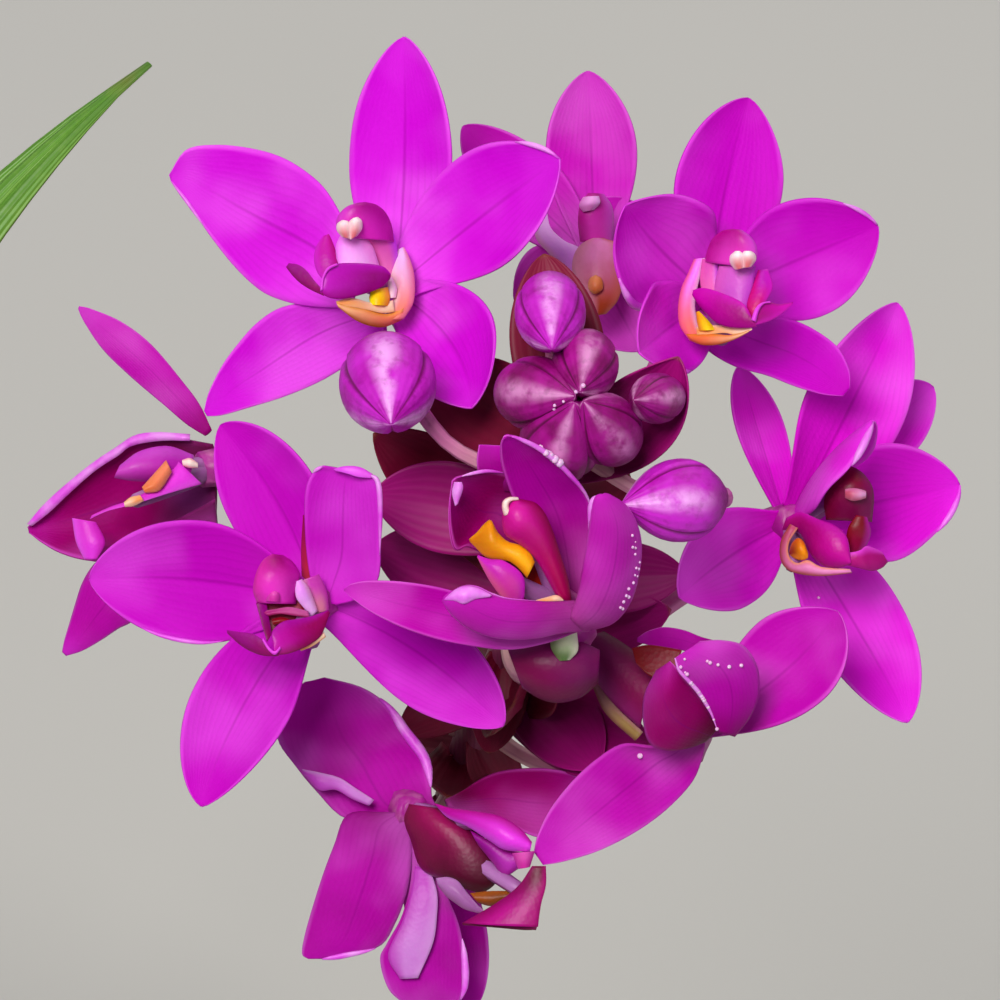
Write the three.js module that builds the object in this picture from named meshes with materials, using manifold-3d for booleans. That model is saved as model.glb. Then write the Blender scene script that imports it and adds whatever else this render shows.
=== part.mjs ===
// A potted Philippine ground orchid in flower: a plain clay pot of bark and loam, a clump of
// pseudobulbs with pleated leaves, and one tall scape with nine open blooms round a crown of buds.
// Millimetres, +Z up, origin at the centre of the pot's flat base.

import * as THREE from 'three';
import { mergeVertices } from 'three/addons/utils/BufferGeometryUtils.js';
import Module from 'manifold-3d';

const wasm = await Module();
wasm.setup();

// Driving dimensions
const POT_HEIGHT = 130;
const POT_BASE_RADIUS = 50;
const POT_TOP_RADIUS = 70;
const POT_WALL = 4.5;
const RIM_HEIGHT = 22;
const RIM_STEP = 4.5;
const RIM_BEVEL = 1.5;
const POT_SIDES = 30;
const DRAIN_RADIUS = 5;
const DRAIN_CIRCLE = 28;
const DRAIN_COUNT = 4;
const DRAIN_SIDES = 10;

const SOIL_LEVEL = 116;
const SOIL_BUMP = 2.4;
const SOIL_RINGS = 3;
const SOIL_SIDES = 24;
const CLEARANCE = 0.3;

const BULB_FOOT_RADIUS = 7;
const BULB_FOOT_DEPTH = 10;
const BULB_SIDES = 10;

const LEAF_THICKNESS = 0.9;
const LEAF_ROWS = 8;
const LEAF_PLEATS = 3;
const PLEAT_HEIGHT = 2;
const LEAF_RISE = 50;

const PETAL_THICKNESS = 0.7;
const PETAL_ROWS = 4;
const PETAL_COLUMNS = 2;
const DRAPE_ROWS = 4;

const SCAPE_FOOT_RADIUS = 3.2;
const SCAPE_TOP_RADIUS = 1.3;
const SCAPE_SIDES = 6;
const STALK_RADIUS = 0.8;
const STALK_SIDES = 5;

// The flower head is laid out as it looks from in front and above: across, up and out towards the
// eye. Places are given as they appear to that eye, in millimetres at the head's middle.
const EYE_ELEVATION = THREE.MathUtils.degToRad(52);
const EYE_DISTANCE = 700;
const HEAD_MIDDLE = new THREE.Vector3(10, -20, 490);
const ACROSS = new THREE.Vector3(1, 0, 0);
const UP = new THREE.Vector3(0, Math.sin(EYE_ELEVATION), Math.cos(EYE_ELEVATION));
const OUT = new THREE.Vector3(0, -Math.cos(EYE_ELEVATION), Math.sin(EYE_ELEVATION));

function headWay(across, up, out) {
  return new THREE.Vector3()
    .addScaledVector(ACROSS, across)
    .addScaledVector(UP, up)
    .addScaledVector(OUT, out);
}

function headPlace([across, up, out]) {
  const nearer = (EYE_DISTANCE - out) / EYE_DISTANCE;
  return headWay(across * nearer, up * nearer, out).add(HEAD_MIDDLE);
}

// Materials
function finish(color, roughness) {
  return new THREE.MeshStandardMaterial({ color, roughness, metalness: 0 });
}

const clay = finish(0xa8603f, 0.85);
const bark = finish(0x4a3524, 0.95);
const bulbSkin = finish(0x8a9a4a, 0.7);
const leafGreen = finish(0x4f8a2c, 0.55);
const scapeSkin = finish(0x7a4a5c, 0.6);
const petalMagenta = finish(0xc428c8, 0.5);
const budMagenta = finish(0xb842b8, 0.5);
const capCream = finish(0xffe6dc, 0.5);
const callusYellow = finish(0xffaa0a, 0.55);

// Solids
function solidOf(geometry) {
  const bare = geometry.clone();
  bare.deleteAttribute('normal');
  bare.deleteAttribute('uv');
  const merged = mergeVertices(bare, 1e-4);
  const vertProperties = new Float32Array(merged.attributes.position.array);
  const triVerts = new Uint32Array(merged.index.array);
  return new wasm.Manifold(new wasm.Mesh({ numProp: 3, vertProperties, triVerts }));
}

function meshOf(name, solid, material) {
  const { vertProperties, triVerts, numProp } = solid.getMesh();
  const positions = new Float32Array((vertProperties.length / numProp) * 3);
  for (let i = 0; i < positions.length / 3; i += 1) {
    positions.set(vertProperties.subarray(i * numProp, i * numProp + 3), i * 3);
  }
  const geometry = new THREE.BufferGeometry();
  geometry.setAttribute('position', new THREE.BufferAttribute(positions, 3));
  geometry.setIndex(new THREE.BufferAttribute(new Uint32Array(triVerts), 1));
  geometry.computeVertexNormals();
  const mesh = new THREE.Mesh(geometry, material);
  mesh.name = name;
  return mesh;
}

// Solids joined in one body, with any hollow that the joining seals filled.
function joined(solids) {
  const whole = solids.reduce((sum, solid) => sum.add(solid));
  const bodies = whole.decompose();
  return bodies.reduce((largest, body) => (body.volume() > largest.volume() ? body : largest));
}

// A closed thin sheet: the grid is its inner face, the other face lies a thickness behind it.
function sheetSolid(grid, behind) {
  const rows = grid.length;
  const columns = grid[0].length;
  const count = rows * columns;
  const positions = [];
  for (const face of [grid, behind]) {
    for (const row of face) {
      for (const point of row) positions.push(point.x, point.y, point.z);
    }
  }
  const index = [];
  const at = (row, column) => row * columns + column;
  for (let r = 0; r < rows - 1; r += 1) {
    for (let c = 0; c < columns - 1; c += 1) {
      const [a, b, d, e] = [at(r, c), at(r, c + 1), at(r + 1, c + 1), at(r + 1, c)];
      index.push(a, b, d, a, d, e);
      index.push(a + count, d + count, b + count, a + count, e + count, d + count);
    }
  }
  const rim = [];
  for (let c = 0; c < columns - 1; c += 1) rim.push(at(0, c));
  for (let r = 0; r < rows - 1; r += 1) rim.push(at(r, columns - 1));
  for (let c = columns - 1; c > 0; c -= 1) rim.push(at(rows - 1, c));
  for (let r = rows - 1; r > 0; r -= 1) rim.push(at(r, 0));
  rim.forEach((here, k) => {
    const next = rim[(k + 1) % rim.length];
    index.push(next, here, here + count, next, here + count, next + count);
  });
  const geometry = new THREE.BufferGeometry();
  geometry.setAttribute('position', new THREE.Float32BufferAttribute(positions, 3));
  geometry.setIndex(index);
  return solidOf(geometry);
}

// A closed round stem through a list of points, with a radius at each of them.
const RING_START = new THREE.Vector3(0.1, 0.2, 1);

function stemSolid(points, radii, sides) {
  const rings = points.map((point, i) => {
    const before = points[Math.max(i - 1, 0)];
    const after = points[Math.min(i + 1, points.length - 1)];
    const going = after.clone().sub(before).normalize();
    const side = new THREE.Vector3().crossVectors(going, RING_START).normalize();
    const lift = new THREE.Vector3().crossVectors(side, going);
    return Array.from({ length: sides }, (_, k) => {
      const turn = (2 * Math.PI * k) / sides;
      return point.clone()
        .addScaledVector(side, radii[i] * Math.cos(turn))
        .addScaledVector(lift, radii[i] * Math.sin(turn));
    });
  });
  const positions = [];
  for (const ring of rings) for (const point of ring) positions.push(point.x, point.y, point.z);
  const first = points[0];
  const last = points[points.length - 1];
  positions.push(first.x, first.y, first.z, last.x, last.y, last.z);
  const index = [];
  const foot = rings.length * sides;
  const top = (rings.length - 1) * sides;
  for (let k = 0; k < sides; k += 1) {
    const next = (k + 1) % sides;
    for (let r = 0; r < rings.length - 1; r += 1) {
      const [a, b] = [r * sides + k, r * sides + next];
      index.push(a, a + sides, b + sides, a, b + sides, b);
    }
    index.push(foot, k, next, foot + 1, top + next, top + k);
  }
  const geometry = new THREE.BufferGeometry();
  geometry.setAttribute('position', new THREE.Float32BufferAttribute(positions, 3));
  geometry.setIndex(index);
  return solidOf(geometry);
}

function turnedSolid(profile, sides) {
  const points = profile.map(([radius, height]) => new THREE.Vector2(radius, height));
  const geometry = new THREE.LatheGeometry(points, sides);
  geometry.rotateX(Math.PI / 2);
  return solidOf(geometry);
}

function postSolid(x, y, bottom, top, radius, sides) {
  const geometry = new THREE.CylinderGeometry(radius, radius, top - bottom, sides);
  geometry.rotateX(Math.PI / 2);
  geometry.translate(x, y, (bottom + top) / 2);
  return solidOf(geometry);
}

// Blades: petals, sepals, lobes of the lip and bracts
// Shares of a blade's width at its claw and where it is widest along, how blunt its point is, how
// far it arches back and curls forward, sweeps sideways, and how deeply it is cupped (foot, tip)
const BLADE = {
  claw: 0.22, widest: 0.5, point: 0.75, arch: 0.25, curl: 0.2, sweep: 0, cup: [0.5, 0.5],
};
const CLAW_FULLNESS = 1.3;
const TIP_SHARE = 0.05;
const ROW_CROWDING = 1.25;
const FLATTEST_CUP = 1e-4;

// Half-width share along a blade: a narrow claw, a widest place and a pointed end.
function outline(along, { claw, widest, point }) {
  const rise = Math.min(along / widest, 1);
  const grown = claw + (1 - claw) * Math.sin((rise * Math.PI) / 2) ** CLAW_FULLNESS;
  const fall = Math.max((along - widest) / (1 - widest), 0);
  return Math.max(grown * Math.max(1 - fall * fall, 0) ** point, TIP_SHARE);
}

function bladeSolid(base, tip, face, width, thickness, form = {}, rows = PETAL_ROWS) {
  const shape = { ...BLADE, ...form };
  const columns = PETAL_COLUMNS;
  const chord = tip.clone().sub(base);
  const length = chord.length();
  const ahead = chord.normalize();
  const facing = face.clone().addScaledVector(ahead, -face.dot(ahead)).normalize();
  const sideways = new THREE.Vector3().crossVectors(ahead, facing);
  const start = ahead.clone().addScaledVector(facing, -shape.arch);
  start.addScaledVector(sideways, shape.sweep);
  const end = ahead.clone().addScaledVector(facing, shape.curl);
  end.addScaledVector(sideways, -shape.sweep);
  const spine = new THREE.CubicBezierCurve3(
    base,
    base.clone().addScaledVector(start.normalize(), length / 3),
    tip.clone().addScaledVector(end.normalize(), -length / 3),
    tip,
  );
  const inner = [];
  const outer = [];
  for (let r = 0; r <= rows; r += 1) {
    const along = 1 - (1 - r / rows) ** ROW_CROWDING;
    const middle = spine.getPoint(along);
    const going = spine.getTangent(along);
    const lift = facing.clone().addScaledVector(going, -going.dot(facing)).normalize();
    const side = new THREE.Vector3().crossVectors(going, lift);
    const half = (width / 2) * outline(along, shape);
    const bow = THREE.MathUtils.lerp(...shape.cup, along) + FLATTEST_CUP;
    const innerRow = [];
    const outerRow = [];
    for (let c = 0; c <= columns; c += 1) {
      const turn = ((2 * c) / columns - 1) * bow;
      const point = middle.clone()
        .addScaledVector(side, (half * Math.sin(turn)) / bow)
        .addScaledVector(lift, (half * (1 - Math.cos(turn))) / bow);
      const back = lift.clone().multiplyScalar(-Math.cos(turn)).addScaledVector(side, Math.sin(turn));
      innerRow.push(point);
      outerRow.push(point.clone().addScaledVector(back, thickness));
    }
    inner.push(innerRow);
    outer.push(outerRow);
  }
  return sheetSolid(inner, outer);
}

// The blooms
// heart is where the petals and sepals meet, looks is the way they open, and root the place on the
// flower stem, as a share of it from the top. A petal is [tip across, tip up, tip out, width, form],
// or its two edges, from heart to tip, in the layout's pixels with the millimetres out.
const BLOOMS = {
  a: {
    heart: [-10.8, 21.2, -8], looks: [-0.3, 0.1, 0.95], root: 0.3,
    petals: [
      [-9.6, 46.3, -10, 11.4, {}],
      {
        first: [
          [352, 306, -8.5], [333, 307, -9], [304, 305, -9.6], [282, 300, -10.2], [260, 290, -10.8],
          [236, 268, -11.4], [212, 238, -11.8], [190, 206, -12], [171, 181, -12.2],
        ],
        second: [
          [360, 262, -8.2], [345, 225, -8.8], [325, 190, -9.6], [303, 170, -10.2],
          [278, 156, -10.8], [248, 148, -11.4], [215, 145, -11.8], [186, 150, -12],
          [169, 175, -12.2],
        ],
      },
      [5.9, 34.1, 0, 12.4, { widest: 0.55, sweep: -0.12 }],
      {
        first: [
          [384, 322, -8.6], [385, 334, -9], [367, 349, -9.6], [345, 366, -10], [318, 382, -10.4],
          [285, 396, -10.8], [250, 407, -11], [222, 415, -11.2], [207, 416, -11.2],
        ],
        second: [
          [356, 304, -9.4], [330, 303, -9.8], [305, 303, -10.2], [278, 309, -10.4],
          [256, 324, -10.6], [238, 344, -10.8], [222, 366, -11], [209, 392, -11.2],
          [204, 411, -11.3],
        ],
      },
      [-2.9, 9.3, 3, 11, { sweep: -0.4, curl: 0.3 }],
    ],
  },
  b: {
    heart: [21.4, 20.2, -9], looks: [0.2, -0.05, 0.97], root: 0.26,
    petals: [
      [24.9, 40.2, -15, 11.6, { widest: 0.52, sweep: -0.08 }],
      [12.6, 29.4, 0, 12.8, { sweep: -0.1 }],
      [37.8, 27.4, -12, 12.6, {}],
      [14, 14.8, 1, 10, {}],
      {
        first: [
          [745, 325, -9.4], [770, 318, -9.8], [795, 321, -10], [818, 332, -10], [838, 348, -10],
          [849, 370, -10], [850, 388, -10],
        ],
        second: [
          [700, 336, -9], [708, 350, -9.2], [735, 366, -9.4], [767, 375, -9.6], [795, 386, -9.8],
          [822, 394, -10], [843, 396, -10],
        ],
      },
    ],
  },
  c: {
    heart: [-18.7, -10.2, 2], looks: [-0.3, -0.1, 0.95], root: 0.48,
    petals: [
      [-28, 7.5, -6, 10.6, { sweep: 0.2 }],
      [-41.1, -7.9, -5, 12.8, { sweep: 0.15 }],
      {
        first: [
          [316, 604, 2.5], [308, 560, 3], [305, 520, 3.8], [306, 490, 4.5], [313, 473, 4.8],
          [323, 466, 5],
        ],
        second: [
          [336, 604, 2.5], [358, 598, 3.2], [377, 580, 4], [380, 540, 4.8], [380, 500, 5.4],
          [377, 480, 5.6], [367, 474, 5.5],
        ],
      },
      [-29.9, -30.6, 1, 10.4, { sweep: 0.3 }],
      [0.3, -22.6, 1, 9.8, { widest: 0.52, sweep: -0.2 }],
    ],
  },
  d: {
    heart: [6.3, -10.6, 9], looks: [-0.5, 0.3, 0.8], root: 0.4,
    petals: [
      {
        first: [
          [562, 606, 9], [540, 556, 9.5], [516, 505, 12], [503, 468, 15], [501, 447, 17],
          [504, 438, 18],
        ],
        second: [
          [582, 606, 9], [592, 556, 10], [590, 504, 12], [568, 473, 14.6], [543, 451, 16.4],
          [520, 439, 17.6], [508, 436, 18.2],
        ],
      },
      {
        first: [
          [552, 604, 9], [516, 578, 9.3], [488, 556, 10.5], [468, 546, 11.6], [456, 549, 12.4],
          [451, 532, 13], [450, 508, 13.5], [453, 482, 14],
        ],
        second: [
          [562, 596, 8.5], [552, 540, 8.5], [545, 500, 9.2], [530, 482, 10.6], [508, 474, 11.8],
          [488, 471, 12.8], [470, 474, 13.4], [457, 478, 14],
        ],
      },
      {
        first: [
          [585, 629, 10.5], [612, 622, 11.5], [630, 600, 12.5], [639, 565, 13.5], [639, 535, 15],
          [628, 509, 17], [612, 497, 18.6], [604, 495, 19.2],
        ],
        second: [
          [570, 616, 14], [578, 596, 15], [583, 570, 16.3], [587, 545, 17.5], [590, 522, 18.6],
          [591, 508, 19.2], [594, 499, 19.6], [600, 495, 19.6],
        ],
      },
      {
        first: [
          [580, 630, 10], [548, 642, 11], [510, 649, 12], [470, 645, 12.5], [435, 638, 12.6],
          [400, 626, 12.3], [370, 611, 11.5], [352, 598, 10.8], [344, 591, 10.2],
        ],
        second: [
          [560, 612, 10], [530, 608, 11], [500, 604, 12], [470, 596, 12.5], [435, 587, 12.6],
          [400, 582, 12.3], [370, 581, 11.5], [352, 584, 10.8], [344, 589, 10.2],
        ],
      },
      {
        first: [
          [576, 601, 13], [552, 602, 15], [525, 601, 16.5], [505, 599, 17.5], [490, 594, 18],
          [478, 588, 18.4], [465, 586, 18.6], [454, 591, 18.6], [445, 597, 18.5],
        ],
        second: [
          [592, 630, 11], [565, 631, 12.5], [535, 637, 14], [510, 638, 15], [488, 635, 16],
          [468, 627, 17], [453, 615, 17.8], [446, 606, 18.2], [443, 600, 18.3],
        ],
      },
      {
        first: [[488, 492, 10], [480, 478, 11.5], [477, 462, 12.5], [479, 445, 13]],
        second: [[522, 492, 10], [512, 478, 11.5], [505, 462, 12.8], [503, 446, 13.2]],
      },
    ],
  },
  e: {
    heart: [29.5, -2.2, -13], looks: [0.35, -0.05, 0.93], root: 0.52,
    petals: [
      [39.8, 19.7, -20, 11.4, { sweep: 0.15 }],
      [37.3, 7.8, -6, 10, { cup: [0.9, 0.9], faces: [0.7, -0.6, 0.1] }],
      [46, 1.5, -20, 12.4, {}],
      [18, -9.7, -9, 10.6, { sweep: 0.1 }],
      [40.8, -22.2, -14, 10.4, { sweep: -0.15 }],
      [23.9, 13.4, -25, 5.6, { widest: 0.6, sweep: 0.1 }],
      [43.4, 11.3, -28, 8, { widest: 0.7 }],
    ],
  },
  f: {
    heart: [9.6, 23.8, -27], looks: [0, 0.1, 0.98], root: 0.44,
    petals: [
      [8.8, 42.9, -32, 9.8, { widest: 0.55 }],
      [-3.7, 37.4, -31, 8.5, {}],
      [13, 30, -30, 8, {}],
      [1.5, 20, -29, 8.6, {}],
      [14, 15, -26, 9, {}],
    ],
  },
  g: {
    heart: [-29.2, 3.2, -23], looks: [-0.85, -0.2, 0.4], root: 0.62,
    petals: [
      {
        first: [
          [214, 520, -22], [165, 545, -25], [118, 560, -28], [85, 559, -29], [60, 552, -30],
          [42, 542, -31], [29, 532, -31.5],
        ],
        second: [
          [212, 445, -24], [162, 437, -27], [128, 442, -28], [95, 466, -29], [68, 490, -30],
          [44, 510, -31], [28, 528, -31.5],
        ],
      },
      {
        first: [
          [205, 436, -24], [186, 424, -24.5], [165, 406, -25], [133, 379, -26], [103, 350, -26.6],
          [84, 322, -27], [78, 309, -27],
        ],
        second: [
          [212, 430, -24], [200, 405, -24.5], [184, 383, -25], [152, 345, -26], [122, 322, -26.6],
          [92, 309, -27], [79, 306, -27],
        ],
      },
      {
        first: [
          [140, 560, -25.5], [142, 592, -26.5], [134, 619, -27], [118, 629, -27.5], [100, 641, -28],
          [82, 651, -28.3], [66, 656, -28.5],
        ],
        second: [
          [108, 552, -26], [93, 565, -27], [82, 583, -27.5], [75, 604, -28], [69, 624, -28.2],
          [64, 641, -28.4], [62, 652, -28.5],
        ],
      },
      {
        first: [[215, 560, -21], [160, 590, -24], [130, 600, -26], [112, 600, -27]],
        second: [[215, 500, -20], [160, 530, -24], [125, 560, -26], [110, 590, -27]],
      },
    ],
  },
  h: {
    heart: [-8.8, -31.2, -13], looks: [0.3, -0.35, 0.88], root: 0.72,
    petals: [
      {
        first: [
          [446, 800, -14], [465, 790, -15], [482, 779, -16], [500, 772, -16.6], [522, 769, -17],
          [548, 769, -17.5], [572, 774, -18], [588, 788, -18],
        ],
        second: [
          [450, 806, -14], [474, 813, -15], [496, 819, -16], [515, 827, -16.6], [535, 836, -17],
          [555, 838, -17.5], [575, 828, -18], [589, 800, -18],
        ],
      },
      {
        first: [
          [420, 818, -13], [385, 820, -13.5], [344, 817, -14], [316, 790, -14.5], [296, 766, -15],
          [279, 742, -15], [277, 718, -15], [285, 698, -15], [305, 682, -15.5],
        ],
        second: [
          [436, 812, -12.5], [434, 803, -12.5], [431, 795, -13], [430, 780, -13.5], [424, 757, -14],
          [405, 731, -14.5], [388, 706, -15], [362, 688, -15.3], [325, 678, -15.5],
        ],
      },
      [-2.4, -50.6, -19, 8, {}],
      {
        first: [
          [420, 812, -12.5], [413, 838, -12], [411, 868, -12], [406, 895, -12], [396, 922, -12],
          [380, 946, -12], [345, 955, -12], [322, 959, -12],
        ],
        second: [
          [385, 812, -12.5], [348, 814, -12.5], [334, 845, -12.3], [322, 877, -12], [311, 912, -12],
          [304, 938, -12], [302, 954, -12], [308, 959, -12],
        ],
      },
      {
        first: [
          [432, 830, -12], [440, 878, -11], [450, 902, -10.5], [459, 925, -10.5], [464, 952, -10.5],
          [465, 985, -10.5], [458, 1006, -11],
        ],
        second: [
          [412, 830, -12], [411, 878, -11.5], [402, 915, -11], [387, 943, -10.8], [380, 960, -10.8],
          [389, 990, -10.8], [410, 1008, -11],
        ],
      },
    ],
  },
  i: {
    heart: [19.2, -22.8, -2], looks: [-0.1, 0.3, 0.9], root: 0.58,
    petals: [
      {
        first: [
          [722, 662, -3], [700, 655, -4.5], [680, 650, -5], [662, 647, -5.5], [648, 645, -6],
          [637, 642, -6],
        ],
        second: [
          [722, 642, -3], [702, 637, -4.5], [684, 630, -5], [664, 627, -5.5], [648, 631, -6],
          [637, 638, -6],
        ],
      },
      {
        first: [
          [718, 732, 4], [712, 715, 4.8], [705, 702, 5.6], [697, 690, 6.4], [688, 680, 7.2],
          [679, 670, 8], [675, 658, 8.4],
        ],
        second: [
          [735, 737, 3], [750, 718, 3.2], [759, 695, 3.6], [758, 668, 4.6], [744, 646, 6.2],
          [722, 640, 7.4], [700, 641, 8.2],
        ],
      },
      [33.8, -11.2, -2, 10.8, { widest: 0.62, sweep: 0.25 }],
      {
        first: [
          [706, 738, 0], [702, 758, -1], [692, 782, -2], [668, 808, -3], [637, 831, -3.5],
          [600, 850, -4], [565, 861, -4], [543, 865, -4],
        ],
        second: [
          [680, 742, 0], [650, 748, -1], [622, 745, -2], [596, 760, -3], [572, 782, -3.5],
          [550, 810, -4], [538, 835, -4], [534, 852, -4],
        ],
      },
      {
        first: [
          [706, 742, 1], [690, 748, 2], [668, 751, 3], [650, 744, 3.5], [643, 722, 4],
          [644, 695, 4], [656, 670, 4.5],
        ],
        second: [
          [717, 730, 2], [711, 716, 3], [703, 702, 4], [694, 688, 5], [684, 677, 6],
          [677, 668, 6.5], [670, 661, 6.5],
        ],
      },
    ],
  },
};

// The flower stem, from the crown of buds down behind the blooms, in the head's layout
const FLOWER_STEM = [
  [7.9, 9.6, 9], [6, 1.5, 0], [3.2, -7.5, -12], [0.4, -15, -23], [-2.2, -21.5, -34],
  [-4.4, -28, -45], [-6, -35.5, -57], [-6.8, -44, -71],
];

// The scape's foot, in the soil beside the middle pseudobulb
const SCAPE_FOOT = new THREE.Vector3(17, -13, SOIL_LEVEL - 10);
const SCAPE_KNEE = new THREE.Vector3(15, -12, SOIL_LEVEL + 80);
const SCAPE_WAIST = new THREE.Vector3(5, -14, SOIL_LEVEL + 205);

function flowerStemCurve() {
  return new THREE.CatmullRomCurve3(FLOWER_STEM.map(headPlace));
}

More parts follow.
